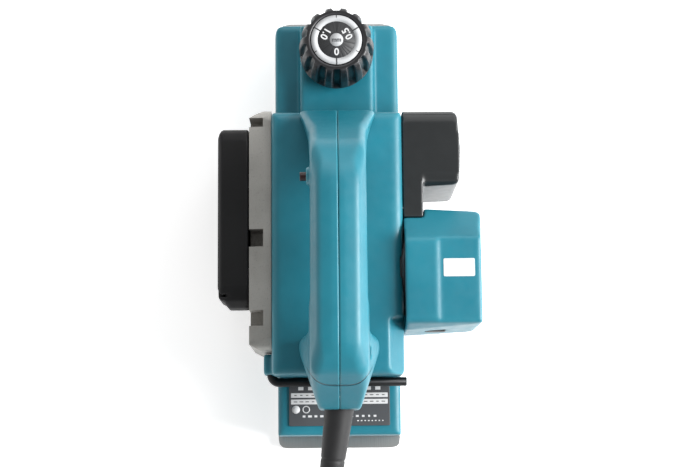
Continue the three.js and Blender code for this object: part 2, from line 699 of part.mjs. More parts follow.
function beltScrew([y, z]) {
  const seat = beltCoverOuter + beltScrewSeat - gap;
  const shank = rodX(y, z, 1.9, seat - 1, beltCoverInner);
  const head = rodX(y, z, 3.8, seat - 2.4, seat);
  return join(shank, head);
}

// The chute is a box over the chip mouth, with a narrow foot that runs back beside the motor housing.
function chuteBox(thickness) {
  const inboard = rightFittings - 2 * thickness;
  const rear = boxRear;
  const plan = [[inboard, rear], [chuteEnd - 1, rear + 1.5, 4], [chuteEnd, (rear + chuteFront) / 2, 8],
    [chuteEnd - 2, chuteFront, 6], [inboard, chuteFront]];
  const side = [[rear, chuteBottom], [chuteFront, chuteBottom, 4], [chuteFront, chuteTop, 8],
      [rear, chuteTop, 8]];
  return alongZ(inset(plan, thickness), chuteBottom, chuteTop)
    .intersect(alongX(inset(side, thickness), inboard, chuteEnd));
}

function chuteFoot(thickness) {
  const front = boxRear + 14 - thickness;
  const plan = rectangle(rightFittings - 2 * thickness, rightFittings + footWidth - thickness,
      footRear + thickness,
    front, 1);
  return alongZ(plan, chuteBottom + thickness, chuteTop - thickness);
}

function chipChute() {
  const outer = join(chuteBox(0), chuteFoot(0));
  const inner = join(chuteBox(wall), chuteFoot(wall));
  const outlet = alongX(rectangle(boxRear + 8, chuteFront - 8, chuteBottom + 8, chuteTop - 22, 5),
    chuteEnd - 6, chuteEnd + 1);
  const roomForPlate = alongX(rectangle(drumY - rightPlateRadius - gap, drumY + rightPlateRadius + gap,
    coverBottom - 1, chuteBottom + 4), rightFittings - 1, rightPlateOuter + gap);
  return cut(outer, inner, outlet, roomForPlate);
}

// ---------------------------------------------------------------- bearings, motor and brushes

const brushCapRadius = 6.6;
const brushWidth = 5;
const brushHeight = 8;

const bearing = ({ outer, bore, width }) => {
  const race = ring(bore, outer, 0, width, 20);
  const shieldDepth = 0.8;
  const groove = (z0, z1) => ring(bore + 2, outer - 2, z0, z1, 20);
  return cut(race, groove(-1, shieldDepth), groove(width - shieldDepth, width + 1));
};

const stackFrom = brushX - 9 - stackLength;
const stackTo = stackFrom + stackLength;

function statorCore() {
  const core = ring(statorBore, statorRadius, stackFrom, stackTo, 32);
  const slots = [1, -1].flatMap((side) => [1, -1].map((up) =>
    block(up * 10.75 - 2.75, up * 10.75 + 2.75, side * 19.75 - 2.75, side * 19.75 + 2.75, stackFrom - 1,
        stackTo + 1)));
  return cut(core, ...slots);
}

// A field winding: one loop through the stator's two slots on its side.
function fieldCoil(side) {
  const y0 = side > 0 ? 17.4 : -22.1;
  const loop = alongY(rectangle(-13.1, 13.1, stackFrom - 4.5, stackTo + 4.5, 4), y0, y0 + 4.7);
  const eye = alongY(rectangle(-8.4, 8.4, stackFrom - 0.4, stackTo + 0.4, 1), y0 - 1, y0 + 6);
  return cut(loop, eye);
}

function armatureCore() {
  const core = ring(motorShaftRadius + gap, armatureRadius, stackFrom + 1, stackTo - 1, 24);
  const slots = Array.from({ length: 12 }, (_, i) => {
    const angle = (i + 0.5) * Math.PI / 6;
    return solid(new THREE.BoxGeometry(6, 1.6, stackLength + 2)
      .translate(armatureRadius, 0, (stackFrom + stackTo) / 2).rotateZ(angle));
  });
  return cut(core, ...slots);
}

function commutator() {
  const body = ring(motorShaftRadius + gap, commutatorRadius, brushX - 6.5, brushX + 6.5, 24);
  const slits = Array.from({ length: 12 }, (_, i) =>
    solid(new THREE.BoxGeometry(1, 0.5, 20).translate(commutatorRadius, 0, brushX).rotateZ(i * Math.PI / 6)));
  return cut(body, ...slits);
}

function coolingFan() {
  const hubTop = 12;
  const disc0 = ring(motorShaftRadius + gap, fanRadius, -2, 0, 28);
  const hub = ring(motorShaftRadius + gap, 9, -2, hubTop, 20);
  const blades = Array.from({ length: 9 }, (_, i) =>
    solid(new THREE.BoxGeometry(fanRadius - 9, 1.4, 9).translate((fanRadius + 7) / 2, 0, 4)
      .rotateZ(i * Math.PI * 2 / 9)));
  return join(disc0, hub, ...blades);
}

function motorShaft() {
  const outerEnd = housingEnd - wall - 0.8;
  const pulleyEnd = beltX - beltWidth / 2 - 1;
  return turned([[0, pulleyEnd], [motorShaftRadius - 0.5, pulleyEnd], [motorShaftRadius, pulleyEnd + 0.5],
    [motorShaftRadius, outerEnd - 0.5], [motorShaftRadius - 0.5, outerEnd], [0, outerEnd]], 16);
}

const pulley = (radius, bore) => {
  const rim = radius - 0.8;
  const end = beltWidth / 2;
  const grooves = [-3, 0, 3].flatMap((at) => [[radius, at - 0.9], [rim, at], [radius, at + 0.9]]);
  const profile = [[bore, -end], [radius, -end], ...grooves, [radius, end], [bore, end], [bore, -end]];
  return turned(profile, 24);
};

const holderLength = 17;

function brushHolder(side) {
  const y0 = motorY + (side > 0 ? 13 : -13 - holderLength);
  const outer = block(brushX - brushWidth / 2 - 2, brushX + brushWidth / 2 + 2, y0, y0 + holderLength,
    motorZ - brushHeight / 2 - 2, motorZ + brushHeight / 2 + 2);
  const bore = block(brushX - brushWidth / 2 - gap, brushX + brushWidth / 2 + gap, y0 - 1,
      y0 + holderLength + 1,
    motorZ - brushHeight / 2 - gap, motorZ + brushHeight / 2 + gap);
  return cut(outer, bore);
}

function carbonBrush(side) {
  const y0 = motorY + (side > 0 ? commutatorRadius + gap : -commutatorRadius - gap - 14);
  return block(brushX - brushWidth / 2, brushX + brushWidth / 2, y0, y0 + 14,
    motorZ - brushHeight / 2, motorZ + brushHeight / 2);
}

function brushCap(side) {
  const face = motorHousingRadius - 1;
  const back = 13 + holderLength + gap;
  const y = (distance) => motorY + side * distance;
  const body = rodY(brushX, motorZ, brushCapRadius, Math.min(y(back), y(face)), Math.max(y(back), y(face)));
  const slot = block(brushX - 5, brushX + 5, Math.min(y(face - 1.2), y(face + 1)),
      Math.max(y(face - 1.2), y(face + 1)),
    motorZ - 0.7, motorZ + 0.7);
  return cut(body, slot);
}

// ---------------------------------------------------------------- cutter drum

const drumHalfLength = halfWidth - 0.4;

function cutterDrum() {
  const shaftLeft = beltX - beltWidth / 2 - 1;
  const shaftRight = rightPlateOuter + 1.5;
  const shoulder = 8;
  const body = turned([[0, shaftLeft], [drumShaftRadius - 0.5, shaftLeft], [drumShaftRadius, shaftLeft + 0.5],
    [drumShaftRadius, -drumHalfLength], [drumBodyRadius, -drumHalfLength], [drumBodyRadius, drumHalfLength],
    [drumShaftRadius, drumHalfLength], [drumShaftRadius, shaftRight - 0.5],
        [drumShaftRadius - 0.5, shaftRight],
    [0, shaftRight]], 36);
  const slots = [1, -1].map((side) => block(side * -0.2 - 4.6, side * -0.2 + 4.6,
      Math.min(side * 13.7, side * 40),
    Math.max(side * 13.7, side * 40), -drumHalfLength - 1, drumHalfLength + 1));
  const threads = [1, -1].flatMap((side) => clampBoltStations.map((at) => rodY(side * -1.2, at, 2.6,
    Math.min(side * shoulder, side * 15), Math.max(side * shoulder, side * 15))));
  return cut(body, ...slots, ...threads);
}

const clampBoltStations = [-clampBoltSpacing / 2, clampBoltSpacing / 2];

// The blade stands against the leading wall of its slot, and the clamp fills the rest.
function blade(side) {
  const x0 = side > 0 ? 4.4 - gap - bladeThickness : -4.4 + gap;
  return block(x0, x0 + bladeThickness, Math.min(side * 19.5, side * bladeTip),
      Math.max(side * 19.5, side * bladeTip),
    -drumHalfLength, drumHalfLength);
}

function bladeClamp(side) {
  const near = side > 0 ? -4.8 + gap : -4.4 + gap * 2 + bladeThickness;
  const far = side > 0 ? 4.4 - gap * 2 - bladeThickness : 4.8 - gap;
  const plate = block(near, far, Math.min(side * 14, side * 26), Math.max(side * 14, side * 26),
    -drumHalfLength, drumHalfLength);
  const round = ring(0.01, drumBodyRadius - 0.2, -drumHalfLength, drumHalfLength, 36);
  const holes = clampBoltStations.flatMap((at) => [
    rodY(side * -1.2, at, 2.6, Math.min(side * 13, side * 28), Math.max(side * 13, side * 28)),
    rodY(side * -1.2, at, 3.1, Math.min(side * 20, side * 28), Math.max(side * 20, side * 28))]);
  return cut(plate.intersect(round), ...holes);
}

function clampBolt(side, at) {
  const shank = rodY(side * -1.2, at, 2.2, Math.min(side * 8.4, side * 21), Math.max(side * 8.4, side * 21));
  const head = rodY(side * -1.2, at, 2.8, Math.min(side * 20.4, side * 23.4),
      Math.max(side * 20.4, side * 23.4), 2);
  return join(shank, head);
}

// ---------------------------------------------------------------- depth knob

function depthKnob() {
  const seat = knobTop - 1.5;
  const grip = turned([[0, knobBottom + 8], [12, knobBottom + 8], [19, knobBottom + 1], [19, knobBottom],
    [knobRadius - 1.2, knobBottom], [knobRadius, knobBottom + 3], [knobRadius, knobBottom + 14],
    [knobRadius - 2.8, knobTop - 3.5], [knobRadius - 5, knobTop], [dialRadius + gap, knobTop],
    [dialRadius + gap, seat], [0, seat]], 28).translate(0, knobY, 0);
  const bore = rodZ(0, knobY, screwRadius + gap, knobBottom, knobTop - 8);
  return cut(grip, bore);
}

function dialPlate() {
  return rodZ(0, knobY, dialRadius, knobTop - 1.2, knobTop - 0.2, 8);
}

function adjustingScrew() {
  const bottom = soleThickness - 1;
  const shank = rodZ(0, knobY, screwRadius, bottom, knobTop - 8 - gap);
  const collar = rodZ(0, knobY, screwRadius + 4, plateauTop + gap, plateauTop + 1.6);
  return join(shank, collar);
}

function knobSpring() {
  const turns = 5;
  const bottom = bossTop + liftRoom + 1.5;
  const top = plateauTop - wall - 1.3;
  class Helix extends THREE.Curve {
    getPoint(t, target = new THREE.Vector3()) {
      const angle = t * turns * 2 * Math.PI;
      return target.set(6.5 * Math.cos(angle), 6.5 * Math.sin(angle), bottom + t * (top - bottom));
    }
  }
  const wire = disc(0, 0, 0.8);
  const geometry = new THREE.ExtrudeGeometry(wire,
      { extrudePath: new Helix(), steps: turns * 10, curveSegments: 3 });
  return solid(geometry).translate(0, knobY, 0);
}

// ---------------------------------------------------------------- wrench

function socketWrench() {
  const right = bodyRight + 2;
  const bend = 5;
  const run = rodX(wrenchY, wrenchZ, wrenchRadius, wrenchLegX + bend, right, 4);
  const leg = rodY(wrenchLegX, wrenchZ, wrenchRadius, wrenchY + bend, wrenchY + wrenchLeg, 4);
  const points = Array.from({ length: 6 }, (_, i) => {
    const angle = Math.PI + i * Math.PI / 10;
    return new THREE.Vector3(wrenchLegX + bend + bend * Math.cos(angle),
        wrenchY + bend + bend * Math.sin(angle), wrenchZ);
  });
  const elbow = solid(new THREE.ExtrudeGeometry(disc(0, 0, wrenchRadius), {
    extrudePath: new THREE.CatmullRomCurve3(points), steps: 6, curveSegments: 4 }));
  return join(run, leg, elbow);
}

// ---------------------------------------------------------------- cord

// The guard leans to the left and down as it leaves the handle.
const guardEnd = new THREE.Vector3(-8.3, -36, guardZ - 9);
const guardStart = new THREE.Vector3(0.5, guardEnd.y + guardLength, guardZ);

function guardAxisAt(y) {
  const share = (guardStart.y - y) / guardLength;
  return guardStart.clone().lerp(guardEnd, share);
}

function cordGuard() {
  const axis = guardEnd.clone().sub(guardStart);
  const length = axis.length();
  const ribs = [0.62, 0.72, 0.82, 0.92].flatMap((share) => {
    const radius = guardRadius - 3.1 * share;
    return [[radius, length * share - 1], [radius - 0.8, length * share], [radius, length * share + 1]];
  });
  const body = turned([[0, 0], [guardFlange, 0], [guardFlange, 2.2], [guardRadius, 2.2], ...ribs,
    [guardRadius - 3.1, length], [0, length]], 16);
  const turn = new THREE.Quaternion().setFromUnitVectors(new THREE.Vector3(0, 0, 1), axis.normalize());
  const place = new THREE.Matrix4().compose(guardStart, turn, new THREE.Vector3(1, 1, 1));
  return body.transform(place.elements);
}

function cordClamp() {
  return block(-9, 5, guardMouth + 9, guardMouth + 15, guardZ - 6, guardZ - 2);
}

const outerTurnRadius = coilMeanRadius + (coilBundle - cordDiameter) / 2;
const coilCentre = new THREE.Vector3(21.6, -138, 0);

// The lead's route by hand: out of the guard, down to the floor, and along it to the coil.
const leadRoute = [
  [-8.4, -36.6, 92.9], [-9.8, -44.6, 90.9], [-11.8, -52.1, 87.4], [-14, -58.7, 82.5], [-15.9, -64.2, 76.3],
  [-17.6, -68.3, 69.1], [-18.9, -71.2, 61.4], [-20.1, -74, 53.6], [-21.3, -76.9, 45.9], [-22.6, -79.7, 38.1],
  [-23.9, -82.6, 30.3], [-25.4, -86.4, 23.1], [-27.2, -91.6, 16.7], [-29.2, -98, 11.4], [-30.9, -105.3, 7.5],
  [-31.8, -113.2, 5.1], [-32, -121.4, 4.3],
].map(([x, y, z]) => new THREE.Vector3(x, y, z));

// The coil's outer form, grown by a clearance where something is fitted to it.
function coilForm(clearance) {
  const half = coilBundle / 2 + clearance;
  const corner = 5;
  const inner = coilMeanRadius - half;
  const outer = coilMeanRadius + half;
  const low = gap / 2 - clearance;
  const high = low + 2 * half;
  const section = [[inner + corner, low], [outer - corner, low], [outer, low + corner],
      [outer, high - corner],
    [outer - corner, high], [inner + corner, high], [inner, high - corner], [inner, low + corner],
    [inner + corner, low]];
  return turned(section, 28).translate(coilCentre.x, coilCentre.y, 0);
}

function cordLead() {
  const path = new THREE.CatmullRomCurve3(leadRoute);
  const geometry = new THREE.ExtrudeGeometry(disc(0, 0, cordDiameter / 2), {
    extrudePath: path, steps: 18, curveSegments: 5 });
  return cut(solid(geometry), coilForm(gap));
}

// ---------------------------------------------------------------- mains plug

// The plug lies beside the coil, where the last turn leaves it, with its pins towards the tool.
const plugEntry = new THREE.Vector3(coilCentre.x + outerTurnRadius, coilCentre.y + 22, 12);
const plugNeck = 20;
const plugLength = 50;
const plugHalfWidth = 18;
const pinSpacing = 19;
const pinLength = 19;

function plugBody() {
  const { x, y, z } = plugEntry;
  const shoulder = y + plugNeck + 7;
  const face = y + plugLength;
  const plan = mirrored([[5, 0, 2], [6, plugNeck, 5], [plugHalfWidth, shoulder - y, 8],
    [plugHalfWidth, face - y, 3]]).map(([u, v, radius]) => [x + u, y + v, radius]);
  const front = rectangle(x - plugHalfWidth, x + plugHalfWidth, z - 11.5, z + 11.5, 8);
  return cut(alongZ(plan, 0, 30).intersect(alongY(front, y - 1, face + 1)), coilForm(gap));
}

function plugPin(side) {
  const face = plugEntry.y + plugLength + gap;
  return rodY(plugEntry.x + side * pinSpacing / 2, plugEntry.z, 2.4, face, face + pinLength, 3);
}

// ---------------------------------------------------------------- assembly

add('rear_base', rearBase(), casting);
add('main_frame', mainFrame(), casting);
add('body_cover', bodyCover(), teal);
add('front_deck', frontDeck(), teal);
add('rear_deck', rearDeck(), teal);
add('rating_plate', ratingPlate(), plateGrey);
add('front_base', frontBase(), casting);

const handle = handleHalves();
add('handle_left', handle.left, teal);
add('handle_right', handle.right, teal);
add('handle_screw_rear', handleScrew(screwPlaces[0]), blackSteel);
add('handle_screw_front', handleScrew(screwPlaces[1]), blackSteel);
add('switch_trigger', switchTrigger(), black);
add('switch_body', switchBody(), black);
add('lock_button', lockButton(), red);

add('motor_housing', motorHousing(), teal);
add('belt_cover', beltCover(), black);
add('belt_cover_screw_rear', beltScrew(beltScrewPlaces[0]), blackSteel);
add('belt_cover_screw_front', beltScrew(beltScrewPlaces[1]), blackSteel);
add('drive_belt', driveBelt(), rubber);
add('chip_chute', chipChute(), glossBlack);

add('stator_core', statorCore(), steel, motor);
add('field_coil_front', fieldCoil(1), copper, motor);
add('field_coil_rear', fieldCoil(-1), copper, motor);
add('armature_core', armatureCore(), steel, motor);
add('commutator', commutator(), copper, motor);
add('cooling_fan', coolingFan(), black, motor);
add('motor_shaft', motorShaft(), steel, motor);
add('motor_pulley', pulley(motorPulleyRadius, motorShaftRadius + gap), steel, motor).position.z = beltX;
add('motor_bearing_left', bearing(motorBearing), steel, motor).position.z = frameOuter + gap;
add('motor_bearing_right', bearing(motorBearing), steel, motor).position.z =
  housingEnd - wall - gap - motorBearing.width;
for (const [place, side] of [['front', 1], ['rear', -1]]) {
  add(`brush_holder_${place}`, brushHolder(side), insulator);
  add(`carbon_brush_${place}`, carbonBrush(side), carbon);
  add(`brush_cap_${place}`, brushCap(side), black);
}

add('cutter_drum', cutterDrum(), steel, drum);
add('drum_pulley', pulley(drumPulleyRadius, drumShaftRadius + gap), steel, drum).position.z = beltX;
add('drum_bearing_left', bearing(drumBearing), steel, drum).position.z = frameOuter + gap;
add('drum_bearing_right', bearing(drumBearing), steel, drum).position.z = rightPlateInner + 1 + gap;
[1, -1].forEach((side, index) => {
  add(`planer_blade_${index + 1}`, blade(side), steel, drum);
  add(`blade_clamp_${index + 1}`, bladeClamp(side), blackSteel, drum);
  clampBoltStations.forEach((at, k) => add(`clamp_bolt_${index * 2 + k + 1}`, clampBolt(side, at),
      steel, drum));
});

add('depth_knob', depthKnob(), black);
add('dial_plate', dialPlate(), white);
add('adjusting_screw', adjustingScrew(), steel);
add('knob_spring', knobSpring(), steel);
add('socket_wrench', socketWrench(), blackSteel);

add('cord_guard', cordGuard(), rubber);
add('cord_clamp', cordClamp(), black);
add('cord_lead', cordLead(), rubber);
add('cord_coil', coilForm(0), rubber);
add('plug_body', plugBody(), black);
add('plug_pin_left', plugPin(-1), brass);
add('plug_pin_right', plugPin(1), brass);

export default planer;
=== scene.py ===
import math

import bmesh
import bpy
import numpy as np
from mathutils import Matrix, Vector


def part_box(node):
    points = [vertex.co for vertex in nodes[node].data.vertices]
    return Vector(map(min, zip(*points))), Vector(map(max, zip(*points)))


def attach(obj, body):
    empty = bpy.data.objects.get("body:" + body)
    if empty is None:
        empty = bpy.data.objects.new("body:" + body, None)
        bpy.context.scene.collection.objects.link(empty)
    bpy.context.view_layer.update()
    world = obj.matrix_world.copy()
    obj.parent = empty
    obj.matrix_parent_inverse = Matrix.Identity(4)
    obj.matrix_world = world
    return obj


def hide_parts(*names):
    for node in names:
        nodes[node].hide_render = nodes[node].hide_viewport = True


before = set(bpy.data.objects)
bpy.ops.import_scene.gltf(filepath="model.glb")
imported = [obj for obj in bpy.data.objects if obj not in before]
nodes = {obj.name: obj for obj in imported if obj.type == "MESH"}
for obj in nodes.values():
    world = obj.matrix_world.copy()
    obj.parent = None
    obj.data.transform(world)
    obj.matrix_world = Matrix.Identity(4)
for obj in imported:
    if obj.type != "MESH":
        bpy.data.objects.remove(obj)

# Electric hand planer, in metres. Shop sizes below are in millimetres, measured from the rear
# end of the sole (y), from the middle of the sole (x) and up from the work (z).
MM = 0.001
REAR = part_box("rear_base")[0][1]
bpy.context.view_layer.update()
scene = bpy.context.scene


def spot(x, y, z):
    """A point of the planer, given in shop millimetres."""
    return Vector((x * MM, REAR + y * MM, z * MM))


def linked(name, data):
    """A new object of this data, in the scene."""
    made = bpy.data.objects.new(name, data)
    scene.collection.objects.link(made)
    return made


# ---------------- camera

CAMERA_PLACE = (-0.003, -0.0905, 1.025)
CAMERA_TILTS = ((-0.64, "Y"), (8.5, "X"), (-0.57, "Z"))
SENSOR_WIDTH = 36
# How many times its own width away the lens sees its whole view.
VIEW_DISTANCE = 1500 / 700


def add_camera():
    data = bpy.data.cameras.new("camera")
    data.sensor_width = SENSOR_WIDTH
    data.lens = SENSOR_WIDTH * VIEW_DISTANCE
    camera = linked("camera", data)
    place = Matrix.Translation(CAMERA_PLACE)
    for degrees, axis in CAMERA_TILTS:
        place = place @ Matrix.Rotation(math.radians(degrees), 4, axis)
    camera.matrix_world = place
    scene.camera = camera


add_camera()


# ---------------- node trees

def wire(tree, kind, inputs=None, **settings):
    """Adds a node; an input is set by name or number, to a value or from another node's socket."""
    made = tree.nodes.new(kind)
    for key, value in settings.items():
        setattr(made, key, value)
    for key, value in (inputs or {}).items():
        socket = made.inputs[key]
        if isinstance(value, bpy.types.NodeSocket):
            tree.links.new(value, socket)
        else:
            socket.default_value = value
    return made


def maths(tree, operation, a, b=0.0, c=0.0):
    return wire(tree, "ShaderNodeMath", {0: a, 1: b, 2: c}, operation=operation).outputs[0]


def times(tree, a, b):
    return maths(tree, "MULTIPLY", a, b)


def vector(tree, x, y, z):
    return wire(tree, "ShaderNodeCombineXYZ", {0: x, 1: y, 2: z}).outputs[0]


def polar(tree, radius, turn, z):
    """The vector at this radius and turn round Z, at this height."""
    return vector(tree, times(tree, radius, maths(tree, "COSINE", turn)),
                  times(tree, radius, maths(tree, "SINE", turn)), z)


def vector_maths(tree, operation, a, b):
    return wire(tree, "ShaderNodeVectorMath", {0: a, 1: b}, operation=operation).outputs


def span(tree, value, low, high, to_low=0.0, to_high=1.0):
    """value from low to high becomes to_low to to_high, and holds outside it."""
    return wire(tree, "ShaderNodeMapRange", {0: value, 1: low, 2: high, 3: to_low, 4: to_high}).outputs[0]


FLOAT, COLOUR, VECTOR = "NodeSocketFloat", "NodeSocketColor", "NodeSocketVector"
SURFACE = {"Colour": COLOUR, "Roughness": FLOAT, "Height": FLOAT}
NOWHERE, WHITE, BLACK = (0, 0, 0), (1, 1, 1, 1), (0, 0, 0, 1)


def socket_for(value):
    """The socket that holds a value: a whole number, a number, a vector or a colour."""
    if isinstance(value, int):
        return "NodeSocketInt"
    if isinstance(value, float):
        return FLOAT
    return VECTOR if len(value) == 3 else COLOUR


def group_of(name, kind, inputs, outputs):
    """An empty node group with named inputs, each at a value, and outputs."""
    group = bpy.data.node_groups.new(name, kind)
    for label, value in inputs.items():
        made = group.interface.new_socket(label, in_out="INPUT", socket_type=socket_for(value))
        made.default_value = value
    for label, socket in outputs.items():
        group.interface.new_socket(label, in_out="OUTPUT", socket_type=socket)
    return group, group.nodes.new("NodeGroupInput").outputs, group.nodes.new("NodeGroupOutput").inputs


def mixed(tree, share, a, b):
    # Inputs 6 and 7 and output 2 are the mix node's colours.
    return wire(tree, "ShaderNodeMix", {0: share, 6: a, 7: b}, data_type="RGBA").outputs[2]


def noise(tree, vector, scale, detail=3.0, roughness=0.5):
    return wire(tree, "ShaderNodeTexNoise", {"Vector": vector, "Scale": scale, "Detail": detail,
                                             "Roughness": roughness}).outputs[0]


def rgb(red, green, blue):
    """A screen colour, 0 to 255, as a linear one."""
    def linear(value):
        value /= 255
        return value / 12.92 if value <= 0.04045 else ((value + 0.055) / 1.055) ** 2.4
    return (linear(red), linear(green), linear(blue), 1)


def moulded_skin():
    """Spark-eroded moulding: drifting colour, fine grain, and paler edges, partly rubbed wear and partly a
    painted highlight.
    """
    group, given, out = group_of("moulded skin", "ShaderNodeTree", {
        "Vector": NOWHERE, "Light": WHITE, "Deep": BLACK, "Worn": WHITE, "Wear": 0.5,
        "Grain Scale": 1800.0, "Low Roughness": 0.35, "High Roughness": 0.5}, SURFACE)
    drift = noise(group, given["Vector"], 26, 4)
    grain = noise(group, given["Vector"], given["Grain Scale"], 2)
    smear = noise(group, given["Vector"], 160, 5, 0.65)
    edge = wire(group, "ShaderNodeAttribute", attribute_name="edge").outputs["Fac"]
    # Convex edges take the paler colour: partly rubbed wear, partly a painted highlight where light catches
    # the rounded edges.
    rubbed_and_highlit = times(group, times(group, edge, given["Wear"]), span(group, smear, 0.3, 0.7, 0.4))
    body = mixed(group, span(group, drift, 0.35, 0.65), given["Light"], given["Deep"])
    group.links.new(mixed(group, rubbed_and_highlit, body, given["Worn"]), out["Colour"])
    rough = span(group, smear, 0.35, 0.65, given["Low Roughness"], given["High Roughness"])
    group.links.new(rough, out["Roughness"])
    group.links.new(grain, out["Height"])
    return group


def cast_skin():
    """Shot-blasted die casting: pitted grey metal with bright edges, partly rubbed metal and partly a painted
    highlight.
    """
    group, given, out = group_of("cast skin", "ShaderNodeTree", {
        "Vector": NOWHERE, "Light": WHITE, "Deep": BLACK}, SURFACE)
    pits = wire(group, "ShaderNodeTexVoronoi", {"Vector": given["Vector"], "Scale": 1100}).outputs[0]
    grain = noise(group, given["Vector"], 900, 4)
    drift = noise(group, given["Vector"], 40, 4)
    edge = wire(group, "ShaderNodeAttribute", attribute_name="edge").outputs["Fac"]
    body = mixed(group, span(group, drift, 0.35, 0.65), given["Light"], given["Deep"])
    # Convex edges are painted near white: partly rubbed metal, partly a painted highlight.
    bright_worn_highlight = mixed(group, times(group, edge, 0.6), body, rgb(205, 205, 202))
    speck = mixed(group, span(group, grain, 0.62, 0.75, 0, 0.35), bright_worn_highlight, rgb(90, 90, 88))
    group.links.new(speck, out["Colour"])
    group.links.new(span(group, grain, 0.3, 0.7, 0.42, 0.62), out["Roughness"])
    group.links.new(maths(group, "ADD", pits, grain), out["Height"])
    return group


def drawn_lines():
    """Machined metal: fine lines drawn out along one direction by an uneven scale."""
    group, given, out = group_of("drawn lines", "ShaderNodeTree", {
        "Vector": NOWHERE, "Stretch": (40, 2500, 2500), "Light": WHITE, "Deep": BLACK,
        "Low Roughness": 0.2, "High Roughness": 0.4}, SURFACE)
    drawn = vector_maths(group, "MULTIPLY", given["Vector"], given["Stretch"])[0]
    lines = noise(group, drawn, 1, 2)
    drift = noise(group, given["Vector"], 60, 4)
    share = times(group, span(group, lines, 0.3, 0.7), span(group, drift, 0.3, 0.7, 0.5))
    group.links.new(mixed(group, share, given["Light"], given["Deep"]), out["Colour"])
    rough = span(group, lines, 0.3, 0.7, given["Low Roughness"], given["High Roughness"])
    group.links.new(rough, out["Roughness"])
    group.links.new(lines, out["Height"])
    return group


def stacked_bands():
    """Even bands across one axis, for laminations, windings and belt ribs."""
    group, given, out = group_of("stacked bands", "ShaderNodeTree", {
        "Vector": NOWHERE, "Axis": (1, 0, 0), "Pitch": 0.0007, "Light": WHITE, "Deep": BLACK},
        {"Colour": COLOUR, "Height": FLOAT})
    along = vector_maths(group, "DOT_PRODUCT", given["Vector"], given["Axis"])["Value"]
    turn = maths(group, "DIVIDE", along, given["Pitch"])
    wave = maths(group, "SINE", times(group, turn, 2 * math.pi))
    height = span(group, wave, -1, 1)
    group.links.new(mixed(group, height, given["Deep"], given["Light"]), out["Colour"])
    group.links.new(height, out["Height"])
    return group


SKIN, CAST, LINES, BANDS = moulded_skin(), cast_skin(), drawn_lines(), stacked_bands()


def blank_material(name):
    """A material with its tree, its Principled shader and the object's own coordinates."""
    made = bpy.data.materials.new(name)
    made.use_nodes = True
    tree = made.node_tree
    coordinates = wire(tree, "ShaderNodeTexCoord").outputs["Object"]
    return made, tree, tree.nodes["Principled BSDF"], coordinates


def material(name, group, inputs, bump, grain_depth, **plain):
    """A finish: one effect group into a Principled shader, with its height as bump."""
    made, tree, shader, coordinates = blank_material(name)
    effect = wire(tree, "ShaderNodeGroup", node_tree=group)
    tree.links.new(coordinates, effect.inputs["Vector"])
    for key, value in inputs.items():
        effect.inputs[key].default_value = value
    tree.links.new(effect.outputs["Colour"], shader.inputs["Base Color"])
    if "Roughness" in effect.outputs:
        tree.links.new(effect.outputs["Roughness"], shader.inputs["Roughness"])
    relief = wire(tree, "ShaderNodeBump", {"Height": effect.outputs["Height"], "Strength": bump,
                                           "Distance": grain_depth})
    tree.links.new(relief.outputs[0], shader.inputs["Normal"])
    for key, value in plain.items():
        shader.inputs[key.replace("_", " ").title().replace("Ior", "IOR")].default_value = value
    return made


# The worn colour goes on convex edges, partly as rubbed wear and partly as a painted highlight.
def moulding(name, light, deep, worn, wear=0.5, grain=1800, low=0.35, high=0.5, bump=0.25, **plain):
    inputs = {"Light": rgb(*light), "Deep": rgb(*deep), "Worn": rgb(*worn), "Wear": wear,
              "Grain Scale": grain,
              "Low Roughness": low, "High Roughness": high}
    return material(name, SKIN, inputs, bump, 0.0001, **plain)


def machined(name, light, deep, stretch, low=0.2, high=0.4, bump=0.2):
    inputs = {"Light": rgb(*light), "Deep": rgb(*deep), "Stretch": stretch, "Low Roughness": low,
              "High Roughness": high}
    return material(name, LINES, inputs, bump, 0.00005, metallic=1.0)


def banded(name, light, deep, axis, pitch, roughness, metallic):
    inputs = {"Light": rgb(*light), "Deep": rgb(*deep), "Axis": axis, "Pitch": pitch}
    return material(name, BANDS, inputs, 0.6, pitch / 3, roughness=roughness, metallic=metallic)


teal = moulding("teal moulding", (22, 114, 131), (17, 105, 122), (96, 178, 190), 0.5, 1500, 0.36, 0.46)
black = moulding("black moulding", (19, 19, 20), (14, 14, 15), (64, 64, 67), 0.5, 1500, 0.5, 0.58,
                 specular_ior_level=0.3)
glossy = moulding("glossy black moulding", (32, 34, 35), (28, 30, 31), (96, 98, 101), 0.5, 1200, 0.29,
                  0.33, 0.12)
dial_grey = moulding("dial print", (182, 184, 186), (174, 176, 178), (200, 200, 200), 0.1, 900, 0.5,
                     0.6, 0.08)
knob_black = moulding("knob black moulding", (24, 24, 26), (18, 18, 20), (84, 84, 88), 0.8, 1400, 0.32, 0.4)
red = moulding("button red moulding", (44, 13, 15), (34, 9, 11), (84, 40, 42), 0.3, 1500, 0.3, 0.36)
plate = moulding("rating plate foil", (70, 72, 75), (65, 67, 70), (118, 120, 124), 0.2, 700, 0.42, 0.5, 0.1)
paper = moulding("white print", (206, 207, 208), (198, 199, 200), (222, 222, 222), 0.1, 900, 0.5, 0.62, 0.08)
ink = moulding("dark print", (46, 47, 49), (38, 39, 41), (70, 70, 72), 0.1, 900, 0.5, 0.6, 0.08)
rubber = moulding("cord rubber", (34, 34, 35), (28, 28, 29), (70, 70, 72), 0.3, 1300, 0.48, 0.58, 0.2,
                  specular_ior_level=0.35)
bakelite = moulding("brown insulator", (112, 62, 34), (88, 46, 24), (150, 100, 70), 0.3, 1100, 0.4, 0.55)
carbon = moulding("brush carbon", (32, 32, 33), (22, 22, 23), (70, 70, 72), 0.3, 2200, 0.7, 0.85)
casting = material("shot-blasted casting", CAST, {"Light": rgb(176, 174, 169), "Deep": rgb(162, 160, 155)},
                   0.35, 0.00015, metallic=0.55)
